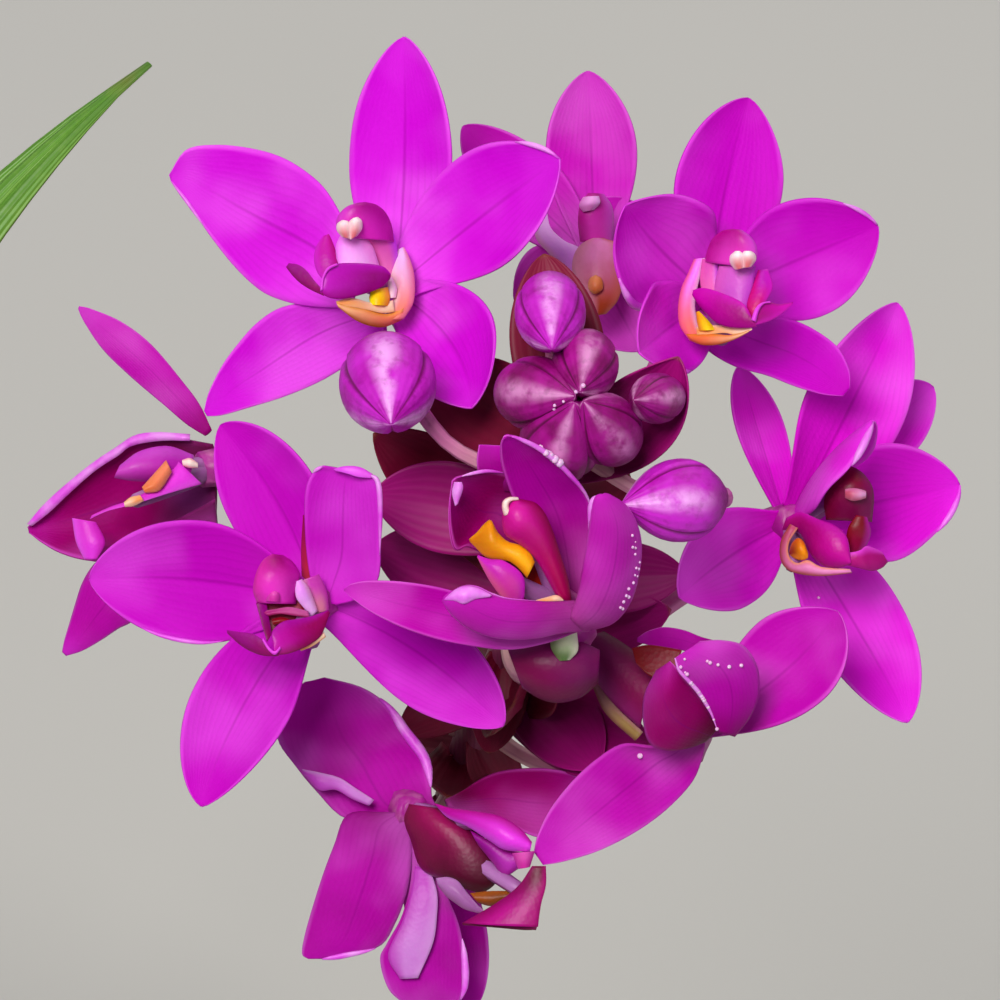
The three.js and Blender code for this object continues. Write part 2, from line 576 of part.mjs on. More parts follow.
// The mouths: each part by its two edges, in the layout's pixels with the millimetres out. humps
// are the callus, cap is the anther cap, and all else is one body with the bloom.
const MOUTHS = {
  a: {
    column: {
      first: [
        [350, 238, -1.5], [337, 228, -0.5], [338, 216, -0.2], [346, 207, -0.2], [356, 203, -0.5],
      ],
      second: [[394, 242, -4.5], [392, 226, -4], [386, 213, -3], [377, 205, -2], [366, 202, -1]],
    },
    chest: {
      first: [[338, 268, -1], [336, 255, -1.2], [336, 245, -1.4], [341, 234, -1.6]],
      second: [[380, 268, -3.2], [377, 258, -3], [373, 247, -2.7], [364, 234, -2.4]],
    },
    lip: {
      first: [
        [321, 287, 2], [325, 272, 1.8], [337, 264, 1.2], [355, 263, 0.4], [372, 264, -0.4],
        [384, 267, -1], [391, 274, -1.4],
      ],
      second: [
        [320, 293, 2], [330, 298, 1.8], [343, 299, 1.3], [357, 296, 0.6], [370, 292, -0.2],
        [382, 287, -0.9], [390, 279, -1.4],
      ],
    },
    wing: {
      first: [[324, 296, 2], [311, 290, 1.5], [300, 283, 0.9], [292, 275, 0.4], [286, 267, 0]],
      second: [[321, 288, 2], [314, 280, 1.5], [307, 271, 0.9], [299, 265, 0.4], [289, 263, 0]],
    },
    wall: {
      first: [
        [385, 320, -2.7], [392, 304, -3.6], [394, 290, -4.5], [391, 276, -5], [393, 262, -5.5],
        [399, 249, -6],
      ],
      second: [
        [404, 319, -2.7], [413, 304, -3.6], [415, 289, -4.5], [414, 273, -5], [410, 259, -5.5],
        [404, 247, -6],
      ],
    },
    claw: {
      first: [
        [337, 303, 1], [350, 306, 0.4], [366, 309, -0.5], [380, 313, -1.5], [392, 313, -2.4],
        [404, 306, -3],
      ],
      second: [
        [338, 307, 1], [348, 315, 0.4], [357, 321, -0.5], [370, 326, -1.5], [385, 327, -2.5],
        [402, 320, -3.2],
      ],
    },
    humps: {
      first: [[371, 305, -1.3], [369, 298, -1.6], [371, 291, -2]],
      second: [[388, 306, -2.2], [390, 298, -2.5], [388, 287, -2.9]],
    },
    cap: {
      first: [[342, 237, 0.6], [337, 231, 0.7], [337, 224, 0.8], [342, 220, 0.7]],
      second: [[350, 239, 0.6], [352, 232, 0.7], [351, 225, 0.8], [348, 221, 0.7]],
    },
  },
  b: {
    column: {
      first: [
        [704, 262, -5], [708, 248, -4.4], [713, 238, -3.4], [722, 231, -2.4], [732, 229, -1.4],
      ],
      second: [
        [752, 269, -1], [757, 257, -0.8], [756, 245, -0.6], [750, 236, -0.7], [742, 230, -1],
      ],
    },
    chest: {
      first: [[714, 296, -3.5], [715, 282, -3.3], [719, 266, -3]],
      second: [[748, 308, -1.5], [752, 290, -1.6], [756, 266, -1.6]],
    },
    lip: {
      first: [
        [757, 327, 1.5], [742, 328, 1.2], [728, 327, 0.6], [715, 322, -0.2], [705, 312, -1],
        [697, 303, -1.6], [692, 295, -2],
      ],
      second: [
        [752, 318, 1.5], [745, 305, 1.3], [734, 298, 0.7], [722, 293, 0], [710, 289, -0.8],
        [701, 288, -1.4], [693, 290, -2],
      ],
    },
    wing: {
      first: [[752, 318, 1.5], [759, 306, 1.1], [768, 302, 0.6], [779, 304, 0.1], [793, 302, -0.4]],
      second: [
        [755, 325, 1.5], [764, 323, 1.1], [774, 319, 0.6], [784, 312, 0.1], [793, 304, -0.4],
      ],
    },
    wall: {
      first: [
        [690, 341, -3], [680, 326, -4], [678, 308, -5], [681, 289, -5.6], [688, 273, -6],
        [694, 259, -6.2],
      ],
      second: [
        [704, 338, -3], [698, 322, -4], [695, 306, -5], [697, 290, -5.5], [701, 274, -5.8],
        [705, 258, -6],
      ],
    },
    claw: {
      first: [
        [686, 334, -2.6], [702, 334, -1.7], [716, 334, -0.9], [728, 335, -0.1], [740, 333, 0.6],
        [749, 330, 1],
      ],
      second: [
        [691, 341, -2.6], [702, 345, -1.8], [716, 345, -1], [728, 342, -0.2], [738, 338, 0.5],
        [749, 332, 1],
      ],
    },
    humps: {
      first: [[699, 331, -1.8], [697, 322, -2.2], [696, 312, -2.6]],
      second: [[716, 330, -1.2], [708, 320, -1.8], [699, 311, -2.4]],
    },
    cap: {
      first: [[735, 270, 0.2], [730, 263, 0.3], [730, 256, 0.4], [735, 251, 0.3]],
      second: [[744, 268, 0.4], [745, 261, 0.5], [744, 255, 0.6], [740, 251, 0.5]],
    },
  },
  c: {
    column: {
      first: [[257, 603, 6], [253, 590, 6.8], [256, 573, 7], [263, 560, 6.4], [272, 554, 5.6]],
      second: [[296, 604, 5], [297, 588, 5.6], [300, 574, 5.4], [293, 562, 5], [283, 555, 4.8]],
    },
    lip: {
      first: [
        [273, 645, 9], [272, 632, 8.8], [282, 622, 8], [296, 619, 7], [312, 616, 6], [328, 610, 5],
      ],
      second: [
        [275, 655, 9], [287, 654, 8.6], [299, 650, 8], [311, 644, 7], [322, 634, 6], [330, 613, 5],
      ],
    },
    wing: {
      first: [[280, 656, 9], [265, 656, 8.6], [252, 652, 8], [240, 645, 7.4], [227, 633, 6.6]],
      second: [[272, 650, 9], [264, 641, 8.6], [253, 634, 8], [240, 632, 7.4], [227, 630, 6.6]],
    },
    humps: {
      first: [[272, 619, 5.9], [281, 617, 5.9], [290, 619, 5.8]],
      second: [[273, 625, 6], [281, 624, 6], [289, 623, 5.9]],
    },
    cap: {
      first: [[266, 601, 7], [268, 594, 7.2], [272, 590, 7.2]],
      second: [[280, 602, 7], [280, 595, 7.2], [277, 590, 7.2]],
    },
  },
  d: {
    column: {
      first: [
        [557, 598, 13], [546, 577, 14], [534, 557, 14.8], [519, 544, 15.4], [506, 536, 15.8],
        [502, 524, 16], [503, 512, 16], [509, 501, 15.8],
      ],
      second: [
        [572, 602, 13], [568, 578, 13.6], [560, 553, 14.2], [553, 531, 14.8], [545, 513, 15.2],
        [536, 503, 15.5], [526, 500, 15.7], [516, 498, 15.8],
      ],
    },
    lip: {
      first: [
        [478, 555, 14.9], [490, 559, 15.3], [502, 560, 15.6], [513, 566, 15.6], [521, 573, 15.4],
        [525, 583, 15.2], [524, 602, 14.8],
      ],
      second: [
        [477, 557, 14.9], [480, 563, 15.2], [484, 571, 15.4], [489, 580, 15.4], [495, 589, 15.3],
        [501, 597, 15.1], [505, 603, 14.8],
      ],
    },
    throat: {
      first: [[522, 605, 10], [524, 585, 10.5], [528, 570, 11], [536, 560, 11.5]],
      second: [[564, 605, 10], [560, 592, 10.5], [555, 580, 11], [548, 566, 11.5]],
    },
    humps: {
      first: [
        [469, 539, 14.4], [477, 532, 14.5], [484, 524, 14.6], [491, 520, 14.8], [497, 531, 14.9],
        [507, 541, 15], [520, 545, 15], [530, 553, 14.9], [535, 562, 14.7],
      ],
      second: [
        [470, 542, 14.4], [476, 548, 14.4], [484, 556, 14.5], [492, 559, 14.7], [500, 560, 14.8],
        [508, 561, 15], [516, 566, 15], [522, 572, 14.9], [527, 578, 14.7],
      ],
    },
    cap: {
      first: [
        [504, 516, 16.3], [502, 508, 16.6], [503, 501, 16.7], [509, 497, 16.6], [518, 497, 16.2],
      ],
      second: [
        [512, 513, 16.3], [509, 508, 16.6], [509, 504, 16.7], [512, 501, 16.6], [519, 500, 16.2],
      ],
    },
  },
  e: {
    column: {
      first: [[826, 520, -10], [824, 500, -9], [832, 482, -8.5], [842, 470, -9], [850, 466, -9.5]],
      second: [[872, 522, -10], [874, 500, -9], [872, 486, -8.5], [864, 474, -9], [856, 468, -9.5]],
    },
    ear: {
      first: [[850, 562, -8], [846, 545, -7.5], [848, 528, -7], [856, 515, -7]],
      second: [[856, 556, -8], [866, 546, -7.8], [871, 532, -7.5], [867, 517, -7.2]],
    },
    lip: {
      first: [
        [786, 518, -9], [800, 512, -8], [818, 519, -6.5], [830, 523, -5.8], [841, 530, -5.3],
        [848, 540, -5], [851, 560, -5],
      ],
      second: [
        [782, 530, -9.5], [798, 532, -9], [806, 544, -8], [812, 556, -7], [824, 566, -6],
        [838, 568, -5.5], [851, 564, -5],
      ],
    },
    wing: {
      first: [[838, 554, -5.1], [858, 551, -5.2], [866, 546, -5.8], [874, 548, -6.4], [882, 552, -7]],
      second: [
        [838, 563, -5.1], [862, 569, -5.4], [872, 571, -6], [882, 568, -6.6], [888, 562, -7.2],
      ],
    },
    claw: {
      first: [
        [798, 528, -8], [789, 543, -7.6], [789, 556, -7.2], [797, 563, -6.8], [808, 560, -6.5],
        [822, 567, -6], [850, 569, -5.5],
      ],
      second: [
        [790, 524, -8], [781, 540, -8], [780, 558, -7.5], [788, 570, -7], [805, 575, -6.5],
        [825, 576, -6], [852, 573, -5.5],
      ],
    },
    humps: {
      first: [
        [789, 552, -7.5], [792, 543, -7], [798, 538, -6.6], [804, 542, -6.4], [808, 552, -6.4],
      ],
      second: [
        [790, 555, -7.5], [794, 558, -7], [799, 560, -6.6], [804, 560, -6.4], [808, 558, -6.4],
      ],
    },
    cap: {
      first: [[845, 489, -7], [852, 488, -6.7], [860, 489, -6.7], [866, 491, -7]],
      second: [[845, 498, -7], [852, 501, -6.7], [860, 500, -6.7], [866, 498, -7]],
    },
  },
  f: {
    column: {
      first: [[580, 242, -22], [578, 222, -21], [580, 205, -21], [588, 193, -22]],
      second: [[612, 242, -23], [614, 222, -22.5], [612, 206, -22.5], [604, 194, -23]],
    },
    ear: {
      first: [[547, 212, -25], [551, 228, -24], [565, 241, -23], [580, 248, -22], [590, 262, -21]],
      second: [
        [533, 216, -25], [536, 238, -24.5], [550, 255, -23.5], [562, 272, -22.5], [580, 290, -21.5],
      ],
    },
    lip: {
      first: [
        [594, 316, -20.5], [590, 302, -20], [584, 288, -20], [573, 275, -20.5], [573, 258, -21],
        [584, 240, -21.5],
      ],
      second: [
        [606, 314, -20.5], [617, 302, -20.3], [622, 288, -20.5], [627, 270, -21], [628, 256, -21.5],
        [612, 240, -22],
      ],
    },
    humps: {
      first: [[590, 292, -18.6], [588, 284, -18.6], [592, 276, -18.8]],
      second: [[600, 292, -18.6], [603, 284, -18.6], [601, 276, -18.8]],
    },
    cap: {
      first: [[583, 212, -20.2], [579, 205, -20], [583, 197, -20.2]],
      second: [[594, 210, -20.2], [600, 203, -20], [599, 196, -20.2]],
    },
  },
  g: {
    column: {
      first: [[190, 480, -18], [160, 482, -17], [132, 481, -16.5], [114, 478, -16.5]],
      second: [[194, 455, -19], [168, 446, -18], [140, 451, -17], [120, 465, -16.5]],
    },
    lip: {
      first: [
        [202, 484, -17], [170, 493, -15.5], [135, 504, -14], [108, 511, -13.5], [90, 519, -13.5],
      ],
      second: [
        [174, 457, -17.5], [162, 480, -16], [135, 498, -14.5], [112, 506, -13.8], [92, 515, -13.5],
      ],
    },
    humps: {
      first: [[172, 472, -15.4], [160, 490, -14.6], [145, 493, -14.2]],
      second: [[166, 460, -15.8], [150, 478, -14.7], [142, 487, -14.3]],
    },
    cap: {
      first: [[182, 460, -16.8], [190, 458, -16.6], [198, 463, -16.8]],
      second: [[183, 466, -16.8], [190, 468, -16.6], [198, 468, -16.8]],
    },
  },
  h: {
    column: {
      first: [
        [434, 803, -8], [452, 808, -6.5], [475, 811, -5], [500, 816, -3.8], [520, 828, -3.2],
        [532, 842, -3],
      ],
      second: [
        [436, 806, -8], [448, 818, -6.5], [468, 827, -5], [488, 840, -3.8], [505, 850, -3.2],
        [530, 852, -3],
      ],
    },
    throat: {
      first: [
        [440, 880, -9.5], [420, 867, -9.8], [411, 841, -9.8], [404, 820, -9.6], [409, 804, -9.4],
      ],
      second: [
        [482, 894, -7], [494, 882, -6.5], [490, 860, -6.5], [466, 835, -7], [440, 808, -8.4],
      ],
    },
    lip: {
      first: [[546, 866, -3], [546, 885, -2.6], [541, 905, -2.2], [538, 927, -2]],
      second: [[532, 866, -3], [518, 886, -3.2], [496, 903, -3.5], [462, 923, -4]],
    },
    humps: {
      first: [[470, 893, -5.2], [490, 891, -5], [513, 891, -4.8]],
      second: [[478, 903, -5.2], [492, 906, -5], [508, 900, -4.8]],
    },
    cap: {
      first: [[518, 869, -3.6], [512, 853, -3.6]],
      second: [[530, 867, -3.4], [535, 851, -3.2]],
    },
  },
  i: {
    column: {
      first: [[704, 730, 0.5], [696, 714, 1], [692, 700, 1.6], [693, 690, 2]],
      second: [[716, 728, 0], [714, 712, 0.4], [710, 698, 1], [702, 688, 1.6]],
    },
    humps: {
      first: [[684, 728, 0.6], [684, 718, 0.8], [690, 708, 1]],
      second: [[694, 728, 0.6], [698, 718, 0.8], [696, 708, 1]],
    },
    cap: {
      first: [[694, 702, 2], [692, 696, 2.2], [694, 690, 2.4]],
      second: [[702, 702, 2], [704, 696, 2.2], [700, 690, 2.4]],
    },
  },
};
const PIXELS_TO_MM = 10;
const MIDDLE_PIXEL = 500;
const CUSHION_ROWS = 2;
const CUSHION_FULLNESS = 0.22;
const CUSHION_HALF_DEPTH = 0.38;
const CORE_RADII = [1.1, 0.7];
const CORE_SIDES = 3;
const CORED_PARTS = ['column', 'lip', 'claw', 'ear'];

// A curve through traced points, as a real curve in the frame
function tracedCurve(points) {
  return new THREE.CatmullRomCurve3(points.map(([x, y, out]) => headPlace([
    (x - MIDDLE_PIXEL) / PIXELS_TO_MM, (MIDDLE_PIXEL - y) / PIXELS_TO_MM, out,
  ])));
}

// Rows of points between two traced edges, grown by a margin past both edges and both ends
function tracedGrid({ first, second }, rows, margin = 0) {
  const edges = [tracedCurve(first), tracedCurve(second)];
  return Array.from({ length: rows + 1 }, (_, r) => {
    const along = r / rows;
    const [from, to] = edges.map((edge) => edge.getPoint(along));
    const aside = to.clone().sub(from).setLength(margin);
    const going = edges[0].getTangent(along).add(edges[1].getTangent(along)).normalize();
    const past = r === 0 ? -margin : margin * Number(r === rows);
    from.sub(aside).addScaledVector(going, past);
    to.add(aside).addScaledVector(going, past);
    return [from, from.clone().lerp(to, 0.5), to];
  });
}

// A petal between two traced edges, with its own thickness behind the face
function drapedSolid(petal) {
  const face = tracedGrid(petal, DRAPE_ROWS);
  const back = face.map((row, r) => row.map((point) => {
    const before = face[Math.max(r - 1, 0)][1];
    const after = face[Math.min(r + 1, DRAPE_ROWS)][1];
    const wide = face[Math.min(Math.max(r, 1), DRAPE_ROWS - 1)];
    const across = wide[2].clone().sub(wide[0]);
    const normal = across.cross(after.clone().sub(before)).normalize();
    return point.clone().addScaledVector(normal, -PETAL_THICKNESS);
  }));
  return sheetSolid(face, back);
}

// A full, rounded body between two traced edges
function cushionSolid(part, margin = 0) {
  const middle = tracedGrid(part, CUSHION_ROWS, margin);
  const moved = (side) => middle.map((row) => {
    const full = row[0].distanceTo(row[2]) * CUSHION_FULLNESS;
    return row.map((point, c) => (
      point.clone().addScaledVector(OUT, side * (CUSHION_HALF_DEPTH + margin + (c === 1 ? full : 0)))
    ));
  });
  return sheetSolid(moved(1), moved(-1));
}

function middleOf(part, along = 0.5) {
  const [from, to] = [part.first, part.second].map((edge) => tracedCurve(edge).getPoint(along));
  return from.lerp(to, 0.5);
}

// The flesh that carries a traced part: a core from the heart to a place in that part
function coreSolid(heart, place) {
  return stemSolid([heart, place], CORE_RADII, CORE_SIDES);
}

// Each bloom hangs on a pedicel that leaves the flower stem squarely and swells into its heart
const PEDICEL_RADII = [0.8, 0.8, 1, 1.5, 2.3, 1.9];
const PEDICEL_SIDES = 5;
const PEDICEL_PULL = 0.35;
const HEART_FRONT = 0.9;
const PETAL_SEATS = [-0.9, -0.1, -0.1, -0.9, -0.9, -1.8, -1.8];
const PETAL_START = 0.8;
const PETAL_CORE_REACH = 0.12;
const HEART_REACH = 4.5;
const STEM_SWELL = 0.7;
const STALK_SINK = 0.4;

function stemRadiusAt(share) {
  return SCAPE_TOP_RADIUS + STEM_SWELL * share;
}

// Where a stalk leaves the flower stem towards a place: just clear of the stem's side
function stalkRoot(share, target) {
  const stem = flowerStemCurve();
  const middle = stem.getPoint(share);
  const going = stem.getTangent(share);
  const away = target.clone().sub(middle);
  away.addScaledVector(going, -away.dot(going)).normalize();
  const clear = stemRadiusAt(share) + CLEARANCE + STALK_RADIUS * STALK_SINK;
  return { root: middle.addScaledVector(away, clear), away };
}

function pedicelCurve(bloom) {
  const heart = headPlace(bloom.heart);
  const looks = headWay(...bloom.looks).normalize();
  const { root, away } = stalkRoot(bloom.root, heart);
  const pull = heart.distanceTo(root) * PEDICEL_PULL;
  const leaving = root.clone().addScaledVector(away, pull);
  const arriving = heart.clone().addScaledVector(looks, -pull);
  return new THREE.CubicBezierCurve3(root, leaving, arriving, heart.clone());
}

function petalSolid(bloom, heart, petal, seat) {
  const looks = headWay(...bloom.looks).normalize();
  const [across, up, out, width, form] = petal;
  const { faces = bloom.looks, ...shape } = form;
  const tip = headPlace([across, up, out]);
  const base = heart.clone().addScaledVector(looks, seat);
  base.addScaledVector(tip.clone().sub(heart).normalize(), PETAL_START);
  return bladeSolid(base, tip, headWay(...faces), width, PETAL_THICKNESS, shape);
}

// One body of petals, sepals, column, lip and pedicel, with seats for the callus and the cap
function bloomSolid(bloom, { humps, cap, ...mouth }) {
  const heart = headPlace(bloom.heart);
  const looks = headWay(...bloom.looks).normalize();
  const solids = [humps, cap].map((part) => coreSolid(heart, middleOf(part)));
  for (const [name, part] of Object.entries(mouth)) {
    solids.push(cushionSolid(part));
    if (CORED_PARTS.includes(name)) solids.push(coreSolid(heart, middleOf(part)));
  }
  bloom.petals.forEach((petal, k) => {
    if (Array.isArray(petal)) {
      solids.push(petalSolid(bloom, heart, petal, PETAL_SEATS[k]));
    } else {
      solids.push(drapedSolid(petal));
      const foot = middleOf(petal, PETAL_CORE_REACH);
      if (foot.distanceTo(heart) > HEART_REACH) solids.push(coreSolid(heart, foot));
    }
  });
  const pedicel = pedicelCurve(bloom).getPoints(PEDICEL_RADII.length - 2);
  pedicel.push(heart.clone().addScaledVector(looks, HEART_FRONT));
  solids.push(stemSolid(pedicel, PEDICEL_RADII, PEDICEL_SIDES));
  const seats = [humps, cap].map((part) => cushionSolid(part, CLEARANCE));
  return joined([seats.reduce((body, seat) => body.subtract(seat), joined(solids))]);
}

function makeBlooms(group) {
  for (const [letter, bloom] of Object.entries(BLOOMS)) {
    const mouth = MOUTHS[letter];
    group.add(meshOf(`bloom_${letter}`, bloomSolid(bloom, mouth), petalMagenta));
    group.add(meshOf(`callus_${letter}`, cushionSolid(mouth.humps), callusYellow));
    group.add(meshOf(`anther_cap_${letter}`, cushionSolid(mouth.cap), capCream));
  }
}

// The closed buds, each on a stalk from the flower stem: root is the share of the stem from its
// top, via a place that the stalk bends through, foot and tip the bud's own ends
const BUDS = {
  bud_left: {
    width: 9.6, tip: [-10.9, 7.7, 14], foot: [-11.5, 14.6, 2], root: 0.15, via: [-5, 5.5, 2],
  },
  bud_top: {
    width: 7, tip: [5.2, 15.2, 17], foot: [4.9, 21.4, 5], root: 0.1, via: [5.4, 13, 1.5],
  },
  bud_right: {
    width: 8.2, tip: [12.2, -0.5, 15], foot: [22.2, 0.3, 9], root: 0.08, via: [15, 0.5, 4],
  },
  bud_small: {
    width: 5, tip: [13.4, 10, 16], foot: [17.4, 10.3, 8], root: 0.05, via: [13, 8.5, 5],
  },
};
const CROWN = [
  { tip: [6.8, 10.2, 18], foot: [1.6, 10.6, 9], width: 6.2 },
  { tip: [8, 10.8, 18], foot: [9.4, 14, 10], width: 5.6 },
  { tip: [7.2, 9, 18], foot: [5, 5, 8], width: 6.8 },
  { tip: [8.6, 9.2, 18], foot: [11.6, 5.8, 9], width: 5.8 },
];
const CROWN_HUB = [8, 10, 11.4];
const CROWN_PAIRS = [[0, 3], [1, 2]];
const BUD_SHARES = [0.3, 0.78, 1, 0.96, 0.7, 0.08];
const BUD_SIDES = 6;
const STALK_REACH = 0.15;

function budSolid({ foot, tip, width }) {
  const [from, to] = [headPlace(foot), headPlace(tip)];
  const last = BUD_SHARES.length - 1;
  const points = BUD_SHARES.map((_, k) => from.clone().lerp(to, k / last));
  const radii = BUD_SHARES.map((share) => (share * width) / 2);
  return stemSolid(points, radii, BUD_SIDES);
}

function stalkedBudSolid(bud) {
  const [via, foot, tip] = [bud.via, bud.foot, bud.tip].map(headPlace);
  const { root } = stalkRoot(bud.root, via);
  const inside = foot.clone().lerp(tip, STALK_REACH);
  const stalk = [root, via, foot, inside];
  return joined([budSolid(bud), stemSolid(stalk, stalk.map(() => STALK_RADIUS), STALK_SIDES)]);
}

// Four buds in one star, on crossed stalks that meet just above the tip of the flower stem
function crownSolid() {
  const hub = headPlace(CROWN_HUB);
  const feet = CROWN.map((bud) => headPlace(bud.foot).lerp(headPlace(bud.tip), STALK_REACH));
  const stalks = CROWN_PAIRS.map(([one, other]) => [feet[one], hub, feet[other]]);
  const solids = stalks.map((path) => stemSolid(path, path.map(() => STALK_RADIUS), STALK_SIDES));
  return joined([...CROWN.map(budSolid), ...solids]);
}

// Scape: one stem from the soil to the crown, with papery sheaths below and bracts above
const SCAPE_SHEATHS = [0.12, 0.36, 0.6];
const SHEATH_LENGTH = 30;
const SHEATH_STEPS = [-0.08, 0.25, 0.6, 1];
const SHEATH_SWELL = [-0.6, 1, 0.8, -1];
const BRACT_LENGTH = 11;
const BRACT_WIDTH = 6.5;
const BRACT_ROWS = 2;
const BRACT_DROP = 2.6;
const BRACT_START = 0.6;
const BRACT_SPREAD = 0.75;
const BRACT_HANG = 0.6;
const SCAPE_STEPS = 16;
const SCAPE_TAPER = 1.5;

function scapeCurve() {
  const head = FLOWER_STEM.map(headPlace).reverse();
  return new THREE.CatmullRomCurve3([SCAPE_FOOT, SCAPE_KNEE, SCAPE_WAIST, ...head]);
}

function scapeRadiusAt(share) {
  return THREE.MathUtils.lerp(SCAPE_FOOT_RADIUS, SCAPE_TOP_RADIUS, share ** SCAPE_TAPER);
}

function sheathSolid(curve, share) {
  const at = curve.getPointAt(share);
  const going = curve.getTangentAt(share);
  const points = SHEATH_STEPS.map((step) => at.clone().addScaledVector(going, SHEATH_LENGTH * step));
  const radii = SHEATH_SWELL.map((swell) => scapeRadiusAt(share) + swell);
  return stemSolid(points, radii, SCAPE_SIDES);
}

function bractSolid(bloom) {
  const stem = flowerStemCurve();
  const root = stem.getPoint(bloom.root);
  const down = stem.getTangent(bloom.root);
  const toBloom = headPlace(bloom.heart).sub(root);
  const away = toBloom.addScaledVector(down, -toBloom.dot(down)).normalize();
  const base = root.clone().addScaledVector(down, BRACT_DROP).addScaledVector(away, BRACT_START);
  const tip = base.clone()
    .addScaledVector(away, BRACT_LENGTH * BRACT_SPREAD)
    .addScaledVector(down, BRACT_LENGTH * BRACT_HANG);
  const up = down.clone().negate();
  const form = { widest: 0.35, curl: -0.3 };
  return bladeSolid(base, tip, up, BRACT_WIDTH, PETAL_THICKNESS, form, BRACT_ROWS);
}

function scapeSolid() {
  const curve = scapeCurve();
  const points = curve.getSpacedPoints(SCAPE_STEPS);
  const radii = points.map((_, k) => scapeRadiusAt(k / SCAPE_STEPS));
  const solids = [stemSolid(points, radii, SCAPE_SIDES)];
  for (const share of SCAPE_SHEATHS) solids.push(sheathSolid(curve, share));
  for (const bloom of Object.values(BLOOMS)) solids.push(bractSolid(bloom));
  return joined(solids);
}

// The clump: each pseudobulb stands on a foot in the soil, and carries its leaves on its neck
const BULBS = [
  { place: [1, 5], width: 25, height: 28 },
  { place: [-26, -3], width: 23, height: 25 },
  { place: [28, 10], width: 23, height: 26 },
  { place: [-7, 31], width: 21, height: 23 },
  { place: [-3, -27], width: 20, height: 22 },
];
const BULB_PROFILE = [[0.86, 0.1], [1, 0.36], [0.84, 0.64], [0.44, 1]];

function bulbSolid({ place: [x, y], width, height }) {
  const radius = width / 2;
  const foot = SOIL_LEVEL - BULB_FOOT_DEPTH + CLEARANCE;
  const seat = SOIL_LEVEL + SOIL_BUMP + CLEARANCE;
  const profile = [[0, foot], [BULB_FOOT_RADIUS, foot], [BULB_FOOT_RADIUS, seat]];
  for (const [share, rise] of BULB_PROFILE) profile.push([share * radius, seat + rise * height]);
  profile.push([0, seat + height]);
  return turnedSolid(profile, BULB_SIDES).translate([x, y, 0]);
}

function bulbTop({ place: [x, y], height }) {
  return new THREE.Vector3(x, y, SOIL_LEVEL + SOIL_BUMP + CLEARANCE + height);
}

// Leaves: each rises from a bulb's neck along a curve through knee and brow to its tip
const LEAVES = [
  {
    bulb: 1, seat: [2, 2.6], width: 31,
    knee: [-96, -50, 280], brow: [-118, -22, 458], tip: [-28, 54, 472],
  },
  {
    bulb: 1, seat: [-2, -2.6], width: 34,
    knee: [-60, -56, 266], brow: [-120, -104, 338], tip: [-172, -152, 242],
  },
  {
    bulb: 3, seat: [-3, 0], width: 36,
    knee: [-66, 58, 262], brow: [-140, 86, 374], tip: [-212, 104, 266],
  },
  {
    bulb: 3, seat: [3, 1], width: 32,
    knee: [26, 74, 206], brow: [48, 142, 168], tip: [62, 188, 64],
  },
  {
    bulb: 4, seat: [-3, 0], width: 32,
    knee: [-40, -80, 242], brow: [-56, -160, 290], tip: [-64, -210, 178],
  },
  {
    bulb: 4, seat: [3, 0], width: 34,
    knee: [32, -88, 250], brow: [72, -152, 282], tip: [104, -196, 170],
  },
  {
    bulb: 2, seat: [0, -3.6], width: 35,
    knee: [88, -40, 274], brow: [152, -64, 322], tip: [204, -88, 210],
  },
  {
    bulb: 2, seat: [0, 3.6], width: 36,
    knee: [96, 32, 306], brow: [152, 64, 402], tip: [210, 88, 314],
  },
  {
    bulb: 0, seat: [-2, 2], width: 32,
    knee: [74, 84, 190], brow: [136, 134, 222], tip: [182, 172, 124],
  },
];

const LEAF_WIDEST = 0.55;
const LEAF_FOOT_SHARE = 0.13;
const LEAF_FULLNESS = 1.6;
const LEAF_CLOSING = 2.2;
const LEAF_TIP_SHARE = 0.07;
const LEAF_TROUGH = 0.25;
const FULL_PLEAT_HALF_WIDTH = 12;

function leafHalfWidth(width, along) {
  const grown = Math.sin(Math.min(along / LEAF_WIDEST, 1) * (Math.PI / 2)) ** LEAF_FULLNESS;
  const past = Math.max((along - LEAF_WIDEST) / (1 - LEAF_WIDEST), 0);
  const closing = Math.max(1 - past ** LEAF_CLOSING, LEAF_TIP_SHARE);
  return (width / 2) * THREE.MathUtils.lerp(LEAF_FOOT_SHARE, 1, grown) * closing;
}

// A smooth curve drawn by its guide points: the place and the way at a share along it
function guidedCurve(guides) {
  return (share) => {
    let points = guides;
    while (points.length > 2) {
      points = points.slice(1).map((point, k) => points[k].clone().lerp(point, share));
    }
    const going = points[1].clone().sub(points[0]).normalize();
    return { middle: points[0].clone().lerp(points[1], share), going };
  };
}

